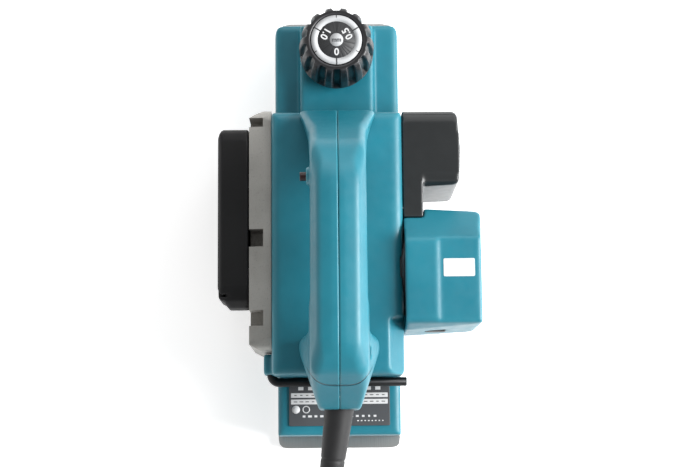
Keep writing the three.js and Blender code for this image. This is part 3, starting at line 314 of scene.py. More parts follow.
sole = machined("ground sole", (206, 207, 206), (188, 189, 188), (2500, 60, 2500), 0.3, 0.4, 0.1)
steel = machined("turned steel", (196, 197, 200), (158, 159, 163), (2600, 80, 80), 0.16, 0.32)
blade_steel = machined("ground blade steel", (208, 209, 212), (170, 171, 175), (60, 2600, 2600), 0.12, 0.26)
blackened = machined("blackened steel", (58, 59, 60), (40, 41, 42), (60, 1800, 1800), 0.34, 0.5)
brass = machined("brass", (196, 164, 92), (160, 128, 66), (60, 2400, 2400), 0.18, 0.32)
laminations = banded("core laminations", (150, 151, 154), (84, 85, 88), (1, 0, 0), 0.001, 0.4, 0.9)
winding = banded("enamelled winding", (184, 98, 52), (104, 48, 24), (0, 0.7, 0.7), 0.0007, 0.3, 0.7)
bars = banded("commutator bars", (190, 112, 66), (120, 60, 34), (0, 1, 0.6), 0.0022, 0.28, 0.9)
ribbed_rubber = banded("belt rubber", (44, 44, 46), (26, 26, 28), (1, 0, 0), 0.0022, 0.7, 0.0)


# ---------------- making pieces

def mesh_object(name, points, faces):
    mesh = bpy.data.meshes.new(name)
    mesh.from_pydata([tuple(point) for point in points], [], [tuple(face) for face in faces])
    return linked(name, mesh)


def flatten(piece):
    """The piece with its modifiers worked into a plain mesh."""
    graph = bpy.context.evaluated_depsgraph_get()
    mesh = bpy.data.meshes.new_from_object(piece.evaluated_get(graph))
    if piece.type == "MESH":
        piece.modifiers.clear()
        piece.data = mesh
        return piece
    name = piece.name
    bpy.data.objects.remove(piece)
    return linked(name, mesh)


def read_rows(items, what, width, kind=float):
    """One value of every item of a mesh, as an array with a row for each."""
    rows = np.empty(len(items) * width, kind)
    items.foreach_get(what, rows)
    return rows.reshape(-1, width)


EDGE_REACH = 0.35


def mark_edges(mesh):
    """Stores how far each point stands out of its surroundings, for the rubbed edges and their painted
    highlight.
    """
    count = len(mesh.vertices)
    place = read_rows(mesh.vertices, "co", 3)
    ends = read_rows(mesh.edges, "vertices", 2, int)
    normal = read_rows(mesh.vertex_normals, "vector", 3)
    total, near, length = np.zeros((count, 3)), np.zeros(count), np.zeros(count)
    step = np.linalg.norm(place[ends[:, 0]] - place[ends[:, 1]], axis=1)
    for a, b in ((0, 1), (1, 0)):
        np.add.at(total, ends[:, a], place[ends[:, b]])
        np.add.at(near, ends[:, a], 1)
        np.add.at(length, ends[:, a], step)
    near = np.maximum(near, 1)
    out = -np.einsum("ij,ij->i", total / near[:, None] - place, normal) / np.maximum(length / near, 1e-9)
    value = np.clip(out / EDGE_REACH, 0, 1)
    attribute = mesh.attributes.new("edge", "FLOAT", "POINT")
    attribute.data.foreach_set("value", value.astype(np.float32))


def settle(piece, body, slot, finish, *stands_for, smooth=True):
    """Gives a finished piece its material, its body and the CAD nodes that it stands for."""
    mesh = piece.data
    if piece.type == "MESH":
        if smooth:
            mesh.polygons.foreach_set("use_smooth", [True] * len(mesh.polygons))
        mark_edges(mesh)
    mesh.materials.clear()
    mesh.materials.append(finish)
    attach(piece, body)
    if stands_for:
        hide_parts(*stands_for)
    return piece


def repaint(finish, *names):
    """A CAD node keeps its shape and takes a better material."""
    for name in names:
        for place in nodes[name].material_slots:
            place.material = finish


def merged_copy(node, name):
    made = linked(name, nodes[node].data.copy())
    work = bmesh.new()
    work.from_mesh(made.data)
    bmesh.ops.remove_doubles(work, verts=work.verts, dist=1e-6)
    bmesh.ops.dissolve_limit(work, angle_limit=math.radians(0.5), verts=work.verts, edges=work.edges)
    work.to_mesh(made.data)
    work.free()
    return made


def smoothed(made, passes):
    """The piece as a plain mesh, its points drawn towards their neighbours."""
    blur = made.modifiers.new("soften", "SMOOTH")
    blur.factor = 0.5
    blur.iterations = passes
    return flatten(made)


def softened(node, name, cell=1.1, passes=5):
    """A moulding or casting: the CAD form with every edge drawn over a small radius."""
    made = merged_copy(node, name)
    remesh = made.modifiers.new("skin", "REMESH")
    remesh.mode = "VOXEL"
    remesh.voxel_size = cell * MM
    return smoothed(made, passes)


def bevelled(node, name, width=0.4, segments=3):
    """A machined piece: the CAD form with its sharp edges broken."""
    made = merged_copy(node, name)
    bevel = made.modifiers.new("broken edges", "BEVEL")
    bevel.width = width * MM
    bevel.segments = segments
    bevel.limit_method = "ANGLE"
    bevel.angle_limit = math.radians(40)
    bevel.use_clamp_overlap = True
    made.data.polygons.foreach_set("use_smooth", [True] * len(made.data.polygons))
    normals = made.modifiers.new("flat faces", "WEIGHTED_NORMAL")
    normals.keep_sharp = True
    return flatten(made)


def tube(name, path, radii, sides=24):
    """A round bar or sleeve along a path, with a radius at each point."""
    path = [Vector(point) for point in path]
    radii = [float(radius) for radius in radii]
    points, faces = [], []
    side = Vector((0, 0, 1))
    for i, (point, radius) in enumerate(zip(path, radii)):
        ahead = (path[min(i + 1, len(path) - 1)] - path[max(i - 1, 0)]).normalized()
        side = (side - ahead * side.dot(ahead)).normalized()
        other = ahead.cross(side)
        for k in range(sides):
            turn = 2 * math.pi * k / sides
            points.append(point + radius * (math.cos(turn) * side + math.sin(turn) * other))
    for i in range(len(path) - 1):
        for k in range(sides):
            a, b = i * sides + k, i * sides + (k + 1) % sides
            faces.append((a, b, b + sides, a + sides))
    faces.append(tuple(reversed(range(sides))))
    faces.append(tuple(range(len(points) - sides, len(points))))
    return mesh_object(name, points, faces)


# ---------------- cord

CORD = 7.7
COIL = (21.6, -138.0)
COIL_MEAN = 46.0
PITCH = 7.65
COIL_STEPS = 18
# Each turn of the coil moves to its next place in this stretch of degrees, before it comes round
# to where the lead joins.
CHANGE_FROM, CHANGE_OVER = 230, 105
FLOOR_LAYER = 4
GUARD_START, GUARD_END = (0.5, 29.0, 102.0), (-8.3, -36.0, 93.0)
# Out of the guard, down to the floor under its own weight, and along it to the coil.
LEAD = [(-8.3, -36, 93), (-9.8, -44.6, 90.9), (-11.8, -52.1, 87.4), (-14, -58.7, 82.5),
        (-15.9, -64.2, 76.3), (-17.6, -68.3, 69.1), (-18.9, -71.2, 61.4), (-20.1, -74, 53.6),
        (-21.3, -76.9, 45.9), (-22.6, -79.7, 38.1), (-23.9, -82.6, 30.3), (-25.4, -86.4, 23.1),
        (-27.2, -91.6, 16.7), (-29.2, -98, 11.4), (-30.9, -105.3, 7.5), (-31.8, -113.2, 5.1),
        (-32, -121.4, 4.1), (-32.05, -130, 4.0)]
# Where each turn lies in the bundle: places out from the mean radius, and layers up from the floor.
TURNS = [(1, 0), (0, 0), (-1, 0), (-1, 1), (-1, 2), (0, 2), (1, 2), (1, 1)]


def coil_path():
    path = []
    for i, (out, up) in enumerate(TURNS):
        last = i == len(TURNS) - 1
        out_next, up_next = TURNS[i] if last else TURNS[i + 1]
        for k in range(COIL_STEPS // 2 + 1 if last else COIL_STEPS):
            turned = 360 * k / COIL_STEPS
            share = min(max((turned - CHANGE_FROM) / CHANGE_OVER, 0), 1)
            share = share * share * (3 - 2 * share)
            radius = COIL_MEAN + PITCH * (out + (out_next - out) * share)
            height = FLOOR_LAYER + PITCH * (up + (up_next - up) * share)
            angle = math.radians(180 + turned)
            path.append((COIL[0] + radius * math.cos(angle), COIL[1] + radius * math.sin(angle), height))
    x = path[-1][0]
    return path + [(x, COIL[1] + 8, 11.7), (x, COIL[1] + 16, 11.9), (x, COIL[1] + 23, 12)]


def add_cord():
    path = [spot(*point) for point in LEAD + coil_path()]
    data = bpy.data.curves.new("mains_cord", "CURVE")
    data.dimensions = "3D"
    data.bevel_depth = CORD / 2 * MM
    data.bevel_resolution = 6
    data.resolution_u = 5
    data.use_fill_caps = True
    spline = data.splines.new("BEZIER")
    spline.bezier_points.add(len(path) - 1)
    for point, place in zip(spline.bezier_points, path):
        point.co = place
        point.handle_left_type = point.handle_right_type = "AUTO"
    made = linked("mains_cord", data)
    bpy.context.view_layer.update()
    length = sum(spline.calc_length() for spline in data.splines)
    return made, length


mains_cord, cord_length = add_cord()


def strap_round_coil():
    """The tie that holds the coil: a flat band round its bundle."""
    angle = math.radians(250)
    out = Vector((math.cos(angle), math.sin(angle), 0))
    along = Vector((-out.y, out.x, 0))
    middle = spot(*COIL, 11.7) + out * COIL_MEAN * MM
    half, corner, thick, wide = 11.9, 4.0, 0.3, 6.0
    points, faces = [], []
    ring = []
    for cx, cz, start in ((1, 1, 0), (-1, 1, 90), (-1, -1, 180), (1, -1, 270)):
        for k in range(7):
            turn = math.radians(start + 15 * k)
            ring.append((cx * (half - corner), cz * (half - 0.5 - corner), math.cos(turn), math.sin(turn)))
    for extra, edge in ((0, -wide), (0, wide), (thick, wide), (thick, -wide)):
        for u, v, cu, cv in ring:
            place = middle + out * (u + cu * (corner + extra)) * MM
            points.append(place + along * edge * MM + Vector((0, 0, (v + cv * (corner + extra)) * MM)))
    count = len(ring)
    for loop in range(4):
        after = (loop + 1) % 4
        for k in range(count):
            a, b = loop * count + k, loop * count + (k + 1) % count
            c, d = after * count + (k + 1) % count, after * count + k
            faces.append((a, d, c, b))
    return mesh_object("coil_tie", points, faces)


# ---------------- shapes by distance

def rounded(corners, steps=7):
    """An outline of (u, v) or (u, v, radius) corners as points, its radii drawn as arcs."""
    points = []
    for i, corner in enumerate(corners):
        here = np.array(corner[:2], float)
        radius = corner[2] if len(corner) > 2 else 0
        back = np.array(corners[i - 1][:2], float) - here
        ahead = np.array(corners[(i + 1) % len(corners)][:2], float) - here
        reach_back, reach_ahead = np.linalg.norm(back), np.linalg.norm(ahead)
        back, ahead = back / reach_back, ahead / reach_ahead
        half = math.acos(max(-1.0, min(1.0, float(back @ ahead)))) / 2
        cut = min(radius / math.tan(half), 0.49 * reach_back, 0.49 * reach_ahead) if half < 1.57 else 0
        if cut < 0.01:
            points.append(here)
            continue
        radius = cut * math.tan(half)
        middle = here + (back + ahead) / np.linalg.norm(back + ahead) * radius / math.sin(half)
        start, end = here + back * cut - middle, here + ahead * cut - middle
        sweep = math.atan2(start[0] * end[1] - start[1] * end[0], float(start @ end))
        for k in range(steps + 1):
            turn = sweep * k / steps
            c, s = math.cos(turn), math.sin(turn)
            points.append(middle + np.array((c * start[0] - s * start[1], s * start[0] + c * start[1])))
    return np.array(points)


def within(corners, u, v):
    """Signed distance from a closed outline, negative inside it."""
    points = rounded(corners)
    shape = np.broadcast(u, v).shape
    nearest, inside = np.full(shape, 1e9), np.zeros(shape, bool)
    for a, b in zip(points, np.roll(points, -1, axis=0)):
        edge = b - a
        share = np.clip(((u - a[0]) * edge[0] + (v - a[1]) * edge[1]) / (edge @ edge), 0, 1)
        nearest = np.minimum(nearest, (u - a[0] - share * edge[0]) ** 2 + (v - a[1] - share * edge[1]) ** 2)
        if a[1] != b[1]:
            crossed = (a[1] > v) != (b[1] > v)
            inside ^= crossed & (u < edge[0] * (v - a[1]) / edge[1] + a[0])
    return np.sqrt(nearest) * np.where(inside, -1, 1)


def fitted(radius, *fields):
    """The part common to all the fields, its edges drawn over a radius."""
    grown = np.broadcast_arrays(*[field + radius for field in fields])
    inner = np.minimum(np.maximum.reduce(grown), 0)
    return inner + np.sqrt(sum(np.maximum(field, 0) ** 2 for field in grown)) - radius


def blended(radius, a, b):
    """Both fields together, with a fillet where they meet."""
    share = np.clip(0.5 + 0.5 * (b - a) / radius, 0, 1)
    return b * (1 - share) + a * share - radius * share * (1 - share)


def bar_x(x, y, z, at_y, at_z, radius, x0, x1):
    across = np.hypot(y - at_y, z - at_z) - radius
    return np.maximum(across, np.maximum(x0 - x, x - x1))


def box_field(x, y, z, low, high):
    return np.maximum.reduce(np.broadcast_arrays(low[0] - x, x - high[0], low[1] - y, y - high[1], low[2] - z,
                                                 z - high[2]))


def lattice(low, high, cell):
    """Open grids of x, y and z that cover a box, in millimetres."""
    axes = [np.arange(a - 2.3 * cell, b + 2.9 * cell, cell) for a, b in zip(low, high)]
    return np.meshgrid(*axes, indexing="ij", sparse=True)


def surface(field, grids):
    """Points and faces of the surface where a sampled field is zero."""
    low = np.array([grid.ravel()[0] for grid in grids])
    cell = grids[0].ravel()[1] - low[0]
    field = field.astype(float)
    inside = field < 0
    nx, ny, nz = field.shape
    corners = [(i, j, k) for i in (0, 1) for j in (0, 1) for k in (0, 1)]
    view = lambda data, c: data[c[0]:nx - 1 + c[0], c[1]:ny - 1 + c[1], c[2]:nz - 1 + c[2]]
    count = sum(view(inside, c).astype(np.int8) for c in corners)
    active = (count > 0) & (count < 8)
    index = -np.ones(active.shape, int)
    index[active] = np.arange(active.sum())
    base = np.argwhere(active)
    total, hits = np.zeros((len(base), 3)), np.zeros(len(base))
    for a in corners:
        for axis in range(3):
            if a[axis]:
                continue
            b = list(a)
            b[axis] = 1
            fa = field[tuple((base + a).T)]
            fb = field[tuple((base + b).T)]
            hit = (fa < 0) != (fb < 0)
            share = np.where(hit, fa / np.where(hit, fa - fb, 1), 0)
            place = base + np.array(a, float)
            place[:, axis] += share
            total[hit] += place[hit]
            hits[hit] += 1
    points = low + cell * total / hits[:, None]
    faces = []
    for axis in range(3):
        u, v = [k for k in range(3) if k != axis]
        start = [slice(1, None), slice(1, None), slice(1, None)]
        start[axis] = slice(0, -1)
        end = list(start)
        end[axis] = slice(1, None)
        a, b = inside[tuple(start)], inside[tuple(end)]
        for found, flip in ((a & ~b, axis == 1), (~a & b, axis != 1)):
            at = np.argwhere(found)
            at[:, u] += 1
            at[:, v] += 1
            quad = []
            for du, dv in ((1, 1), (0, 1), (0, 0), (1, 0)):
                cellat = at.copy()
                cellat[:, u] -= du
                cellat[:, v] -= dv
                quad.append(index[tuple(cellat.T)])
            quad = np.stack(quad, axis=1)
            faces.append(quad[:, ::-1] if flip else quad)
    return points, np.concatenate(faces)


def drawn_onto(points, field, grids, passes=3):
    """Moves points along the field's slope until they lie on its zero surface."""
    low = np.array([grid.ravel()[0] for grid in grids])
    cell = grids[0].ravel()[1] - low[0]
    slopes = np.gradient(field, cell)

    def sample(data, place):
        at = np.clip((place - low) / cell, 0, np.array(data.shape) - 1.001)
        base = at.astype(int)
        part = at - base
        value = 0
        for c in np.ndindex(2, 2, 2):
            weight = np.prod(np.where(c, part, 1 - part), axis=1)
            value = value + weight * data[tuple((base + c).T)]
        return value

    for _ in range(passes):
        slope = np.stack([sample(data, points) for data in slopes], axis=1)
        size = np.maximum((slope ** 2).sum(axis=1), 0.05)
        step = sample(field, points)[:, None] * slope / size[:, None]
        points = points - np.clip(step, -0.4 * cell, 0.4 * cell)
    return points


def body_from(name, field, grids):
    """A mesh of the zero surface, in place on the planer."""
    points, faces = surface(field, grids)
    points = drawn_onto(points, field, grids)
    return smoothed(mesh_object(name, points * MM + np.array((0, REAR, 0)), faces), 2)


# ---------------- handle

WALL = 2.5
TOP = 89.3
FRONT = 212.5


def mirrored(corners):
    return corners + [(-u, *rest) for u, *rest in reversed(corners)]


def handle_field(x, y, z):
    side = [(22, 60), (66.7, 60), (66.7, 89.3, 3), (71.7, 122, 15), (152.5, 122, 15),
            (186.5, 89.3, 3), (186.5, 60), (FRONT, 60), (FRONT, 92.5, 2.5), (180, 146, 34),
            (158, 158, 30), (60.7, 158, 16), (42.7, 148, 14), (22, 114, 5)]
    front = mirrored([(27, 60), (25.9, 89.3), (24.2, 101, 6), (18.6, 119, 9), (17.3, 146, 6),
                      (12, 156, 5), (4, 158.4)])
    plan = mirrored([(12.5, 22, 3), (17, 35.7, 8), (25.4, 59.7, 8), (25.4, 79, 3), (17.7, 86, 6),
                     (17.3, 172, 40),
                     (18.3, 191, 30), (21.2, 202, 20), (25.6, FRONT + 1, 0.5)])
    grip = fitted(5.5, within(side, y, z), within(front, x, z))
    return np.maximum(fitted(1.5, grip, within(plan, x, y)), TOP - z)


def handle_piece():
    x, y, z = grids = lattice((-27, 22, 88), (27, 214, 160), 1.05)
    outer = handle_field(x, y, z)
    shell = np.maximum(outer, -(outer + WALL))
    mouth = (-0.3, 23.0, 101.1)
    places = ((56.7, 118), (194, 108))
    for at_y, at_z in places:
        post = np.maximum(bar_x(x, y, z, at_y, at_z, 5, -30, 30), outer)
        shell = np.minimum(shell, post)
    boss = bar_x(x, y, z, 160.6, 140, 5.5, -19.2, -14)
    shell = blended(1.5, shell, boss)
    guard = np.maximum(np.hypot(x - mouth[0], z - mouth[2]) - 10.1, y - 26.5)
    guard = np.minimum(guard, np.maximum(np.hypot(x - mouth[0], z - mouth[2]) - 11.2,
                                         np.maximum(24.5 - y, y - 32)))
    slot = box_field(x, y, z, (-7.5, 108.5, 117), (7.5, 152.5, 128.5))
    lock = bar_x(x, y, z, 160.6, 140, 3.2, -25, -11.7)
    screws = [bar_x(x, y, z, at_y, at_z, radius, x0, 30) for at_y, at_z in places for radius,
              x0 in ((1.9, -12), (3.9, 10))]
    for tool in (guard, slot, lock, *screws):
        shell = np.maximum(shell, -tool)
    return body_from("handle", shell, grids)


def half_of(whole, name, side):
    """One half of the handle: cut near the middle, with its seam edge drawn in."""
    made = linked(name, whole.data.copy())
    work = bmesh.new()
    work.from_mesh(made.data)

    def sliced(distance, clear=False):
        everything = work.verts[:] + work.edges[:] + work.faces[:]
        return bmesh.ops.bisect_plane(work, geom=everything, dist=1e-7, plane_co=(side * distance * MM, 0, 0),
                                      plane_no=(side, 0, 0), clear_inner=clear)

    sliced(1.3)
    sliced(0.75)
    found = sliced(0.15, clear=True)
    work.normal_update()
    for vert in work.verts:
        away = abs(vert.co.x) / MM
        if away < 0.8:
            share = 1 - (away - 0.15) / 0.65
            normal = vert.normal.copy()
            normal.x = 0
            if normal.length > 0.3:
                vert.co -= normal.normalized() * 0.45 * MM * share ** 1.5
    rim = [item for item in found["geom_cut"] if isinstance(item, bmesh.types.BMEdge)]
    bmesh.ops.triangle_fill(work, edges=rim, use_beauty=True)
    bmesh.ops.recalc_face_normals(work, faces=work.faces)
    work.to_mesh(made.data)
    work.free()
    return made


def add_handle():
    whole = handle_piece()
    for name, side, node in (("handle_half_left", -1, "handle_left"),
                             ("handle_half_right", 1, "handle_right")):
        settle(half_of(whole, name, side), "housing", "teal_plastic", handle_teal, node)
    bpy.data.objects.remove(whole)


def seam_teal():
    """The handle's teal, with the dark parting line of its rear cap drawn round it."""
    half_width, bow, cap_line = 17.0, 6.5, 35.7
    made = teal.copy()
    made.name = "teal moulding with cap line"
    tree = made.node_tree
    shader = tree.nodes["Principled BSDF"]
    coordinates = next(node for node in tree.nodes if node.type == "TEX_COORD").outputs["Object"]
    split = wire(tree, "ShaderNodeSeparateXYZ", {0: coordinates}).outputs
    across = times(tree, maths(tree, "ABSOLUTE", split[0]), 1 / MM)
    bowed = times(tree, maths(tree, "POWER", maths(tree, "DIVIDE", across, half_width), 4), bow)
    line = maths(tree, "ADD", bowed, REAR / MM + cap_line)
    away = maths(tree, "ABSOLUTE", maths(tree, "SUBTRACT", times(tree, split[1], 1 / MM), line))
    above = span(tree, split[2], 0.112, 0.116)
    groove = times(tree, span(tree, away, 0.12, 0.5, 1, 0), above)
    colour = shader.inputs["Base Color"].links[0].from_socket
    darkened = mixed(tree, times(tree, groove, 0.8), colour, rgb(8, 44, 54))
    tree.links.new(darkened, shader.inputs["Base Color"])
    relief = next(node for node in tree.nodes if node.type == "BUMP")
    cut = wire(tree, "ShaderNodeBump", {"Height": groove, "Strength": 1.0, "Distance": 0.0006,
                                        "Normal": relief.outputs[0]}, invert=True)
    tree.links.new(cut.outputs[0], shader.inputs["Normal"])
    return made


handle_teal = seam_teal()
add_handle()


# ---------------- covers and castings

def add_covers():
    covers = [
        ("body_cover", "body_shell", 1.25, 4, "teal_plastic", teal),
        ("front_deck", "front_deck_cover", 1.1, 4, "teal_plastic", teal),
        ("rear_deck", "rear_deck_cover", 1.1, 4, "teal_plastic", teal),
        ("motor_housing", "motor_shell", 1.1, 6, "teal_plastic", teal),
        ("belt_cover", "belt_guard_cover", 1.0, 5, "black_plastic", black),
        ("chip_chute", "chip_spout", 1.0, 5, "gloss_black_plastic", glossy),
    ]
    for node, name, cell, passes, slot, finish in covers:
        settle(softened(node, name, cell, passes), "housing", slot, finish, node)
    settle(bevelled("main_frame", "cast_frame", 0.6), "housing", "casting", casting, "main_frame")
    settle(bevelled("rear_base", "rear_sole_plate"), "housing", "casting", sole, "rear_base")
    settle(bevelled("front_base", "front_sole_plate"), "front_shoe", "casting", sole, "front_base")


add_covers()


# ---------------- geometry node trees

def geometry_tree(name, inputs):
    group, given, out = group_of(name, "GeometryNodeTree", inputs, {"Geometry": "NodeSocketGeometry"})
    return group, given, out["Geometry"]


def grown(name, group, **values):
    """Runs a geometry node tree with these inputs and keeps its result as a plain mesh."""
    made = mesh_object(name, [], [])
    modifier = made.modifiers.new("shape", "NODES")
    modifier.node_group = group
    for item in group.interface.items_tree:
        if item.item_type == "SOCKET" and item.in_out == "INPUT":
            key = item.name.lower().replace(" ", "_")
            if key in values:
                modifier[item.identifier] = values[key]
    bpy.context.view_layer.update()
    return flatten(made)


def closed(group, geometry, out, finish):
    """The end of every tree: instances made real, with their material."""
    real = wire(group, "GeometryNodeRealizeInstances", {0: geometry}).outputs[0]
    shaded = wire(group, "GeometryNodeSetMaterial", {0: real, "Material": finish}).outputs[0]
    group.links.new(shaded, out)


def fluted_knob_tree():
    """A grip turned round Z: a profile up its height, cut back between its ridges."""
    group, given, out = geometry_tree("fluted knob", {
        "Radius": 0.0243, "Bottom": 0.065, "Height": 0.032, "Ridges": 14.0, "Depth": 0.0032,
        "Place": NOWHERE})
    grid = wire(group, "GeometryNodeMeshGrid", {0: 1.0, 1: 1.0, 2: 281, 3: 60}).outputs[0]
    position = wire(group, "GeometryNodeInputPosition").outputs[0]
    place = wire(group, "ShaderNodeSeparateXYZ", {0: position}).outputs
    turn = times(group, maths(group, "ADD", place[0], 0.5), 2 * math.pi)
    share = maths(group, "ADD", place[1], 0.5)
    radial = wire(group, "ShaderNodeFloatCurve", {1: share})
    upward = wire(group, "ShaderNodeFloatCurve", {1: share})
    # Along the profile: under side, skirt, ridged wall, shoulder, top face, and the seat for the dial.
    profile = [(0, 0.30, 0.16), (0.10, 0.80, 0.01), (0.16, 0.97, 0.0), (0.22, 1.0, 0.07),
               (0.34, 1.0, 0.36), (0.52, 0.975, 0.64), (0.68, 0.92, 0.87), (0.74, 0.875, 0.955),
               (0.80, 0.80, 1.0), (0.88, 0.73, 1.0), (0.91, 0.692, 0.985), (0.94, 0.684, 0.955),
               (0.97, 0.62, 0.95), (1.0, 0.0, 0.95)]
    for curve, column in ((radial, 1), (upward, 2)):
        points = curve.mapping.curves[0].points
        for row in profile[1:-1]:
            points.new(row[0], row[column])
        points[0].location = (profile[0][0], profile[0][column])
        points[-1].location = (profile[-1][0], profile[-1][column])
        for point in points:
            point.handle_type = "AUTO_CLAMPED"
        curve.mapping.update()
    wave = maths(group, "COSINE", times(group, turn, given["Ridges"]))
    valley = span(group, wave, -0.45, 0.35, 1, 0)
    valley = maths(group, "SMOOTH_MIN", valley, 1.0, 0.1)
    band = times(group, span(group, share, 0.2, 0.27), span(group, share, 0.73, 0.80, 1, 0))
    cut = times(group, times(group, valley, band), given["Depth"])
    radius = maths(group, "SUBTRACT", times(group, radial.outputs[0], given["Radius"]), cut)
    height = maths(group, "MULTIPLY_ADD", upward.outputs[0], given["Height"], given["Bottom"])
    centred = vector_maths(group, "ADD", polar(group, radius, turn, height), given["Place"])[0]
    shaped = wire(group, "GeometryNodeSetPosition", {0: grid, 2: centred}).outputs[0]
    joined = wire(group, "GeometryNodeMergeByDistance", {0: shaped, "Distance": 0.00002}).outputs[0]
    closed(group, joined, out, knob_black)
    return group


def across_ring(group, given):
    """How wide a ring is from its inner to its outer radius, and its mean radius."""
    width = maths(group, "SUBTRACT", given["Outer"], given["Inner"])
    return width, times(group, maths(group, "ADD", given["Outer"], given["Inner"]), 0.5)


def marks_round_tree(name, finish):
    """Small blocks set evenly round a circle, lying along its radii."""
    group, given, out = geometry_tree(name, {
        "Count": 3, "Inner": 0.012, "Outer": 0.016, "Width": 0.0006, "Height": 0.0002,
        "Start": 0.0, "Place": NOWHERE})
    length, middle = across_ring(group, given)
    size = vector(group, length, given["Width"], given["Height"])
    block = wire(group, "GeometryNodeMeshCube", {0: size, 1: 2, 2: 2, 3: 2}).outputs[0]
    points = wire(group, "GeometryNodePoints", {0: given["Count"]}).outputs[0]
    step = maths(group, "DIVIDE", 2 * math.pi, given["Count"])
    index = wire(group, "GeometryNodeInputIndex").outputs[0]
    turn = maths(group, "MULTIPLY_ADD", index, step, given["Start"])
    centred = vector_maths(group, "ADD", polar(group, middle, turn, 0.0), given["Place"])[0]
    placed = wire(group, "GeometryNodeSetPosition", {0: points, 2: centred}).outputs[0]
    copies = wire(group, "GeometryNodeInstanceOnPoints", {
        "Points": placed, "Instance": block, "Rotation": vector(group, 0.0, 0.0, turn)})
    closed(group, copies.outputs[0], out, finish)
    return group


def washer_tree(name, finish):
    """A flat ring of a rectangular section, round Z."""
    group, given, out = geometry_tree(name, {
        "Inner": 0.012, "Outer": 0.016, "Height": 0.0002, "Place": NOWHERE})
    width, middle = across_ring(group, given)
    path = wire(group, "GeometryNodeCurvePrimitiveCircle", {"Resolution": 96, "Radius": middle}).outputs[0]
    section = wire(group, "GeometryNodeCurvePrimitiveQuadrilateral", {
        "Width": width, "Height": given["Height"]}).outputs[0]
    swept = wire(group, "GeometryNodeCurveToMesh", {"Curve": path, "Profile Curve": section}).outputs[0]
    put = wire(group, "GeometryNodeTransform", {0: swept, "Translation": given["Place"]}).outputs[0]
    closed(group, put, out, finish)
    return group


PRINT_THICK = 0.06 * MM


def print_rows_tree(name, finish):
    """Rows of short printed strokes of uneven length, standing for small print."""
    group, given, out = geometry_tree(name, {
        "Rows": 2, "Columns": 8, "Width": 0.03, "Depth": 0.004, "Stroke": 0.0008, "Fill": 0.7,
        "Vary": 0.4, "Seed": 1, "Place": NOWHERE})
    grid = wire(group, "GeometryNodeMeshGrid", {0: given["Width"], 1: given["Depth"], 2: given["Columns"],
                                                3: given["Rows"]}).outputs[0]
    pitch = maths(group, "DIVIDE", given["Width"], given["Columns"])
    longest = times(group, pitch, given["Fill"])
    shortest = maths(group, "SUBTRACT", 1.0, given["Vary"])
    vary = wire(group, "FunctionNodeRandomValue", {2: shortest, 3: 1.0, "Seed": given["Seed"]},
                data_type="FLOAT").outputs[1]
    size = vector(group, times(group, longest, vary), given["Stroke"], PRINT_THICK)
    block = wire(group, "GeometryNodeMeshCube", {0: (1, 1, 1), 1: 2, 2: 2, 3: 2}).outputs[0]
    copies = wire(group, "GeometryNodeInstanceOnPoints", {"Points": grid, "Instance": block, "Scale": size})
    put = wire(group, "GeometryNodeTransform", {0: copies.outputs[0],
                                                "Translation": given["Place"]}).outputs[0]
    closed(group, put, out, finish)
    return group


# ---------------- depth knob and dial

KNOB_Y = 257.3
DIAL_TOP = 96.8


def lettering(name, words, size, place, turn, finish, thick=0.05):
    """A word on the dial, read from the middle outwards, as a thin print."""
    data = bpy.data.curves.new(name, "FONT")
    data.body = words
    data.size = size * MM
    data.align_x = "CENTER"
    data.align_y = "CENTER"
    data.extrude = thick * MM
    data.offset = 0.00016
    made = flatten(linked(name, data))
    made.data.transform(Matrix.Translation(place) @ Matrix.Rotation(turn, 4, "Z"))
    return settle(made, "knob", "white_print", finish, smooth=False)


def add_knob():
    centre = spot(0, KNOB_Y, 0)
    grip = grown("depth_knob_grip", fluted_knob_tree(), place=centre)
    settle(grip, "knob", "black_plastic", knob_black, "depth_knob")
    top = spot(0, KNOB_Y, DIAL_TOP)
    face = grown("dial_face", washer_tree("dial disc", ink), inner=0.0, outer=0.0163, height=0.0009,
                 place=spot(0, KNOB_Y, DIAL_TOP - 0.45))
    settle(face, "knob", "black_plastic", ink, "dial_plate", smooth=False)
    white_ring = washer_tree("dial ring", dial_grey)
    ring = grown("dial_scale_ring", white_ring, inner=0.0121, outer=0.0162, height=0.0001, place=top)
    settle(ring, "knob", "white_print", dial_grey, smooth=False)
    hub = grown("dial_centre", white_ring, inner=0.0, outer=0.0043, height=0.0001, place=top)
    settle(hub, "knob", "white_print", dial_grey, smooth=False)
    dark_marks = marks_round_tree("dial marks", ink)
    above = top + Vector((0, 0, 0.00006))
    for name, inner, width, start in (("dial_divisions", 0.0119, 0.0008, -90),
                                      ("dial_half_marks", 0.0144, 0.0005, -30)):
        marks = grown(name, dark_marks, count=3, inner=inner, outer=0.0164, width=width, height=0.0001,
                      start=math.radians(start), place=above)
        settle(marks, "knob", "black_plastic", ink, smooth=False)
    for name, words, degrees in (("dial_number_0", "0", -90), ("dial_number_05", "0.5", 30),
                                 ("dial_number_10", "1.0", 150)):
        angle = math.radians(degrees)
        place = top + Vector((math.cos(angle), math.sin(angle), 0)) * 8.1 * MM
        lettering(name, words, 6.3, place, angle + math.pi / 2, paper)
    lettering("dial_unit", "mm", 4.0, above, 0, plate, 0.03)


add_knob()


# ---------------- rating plate and label

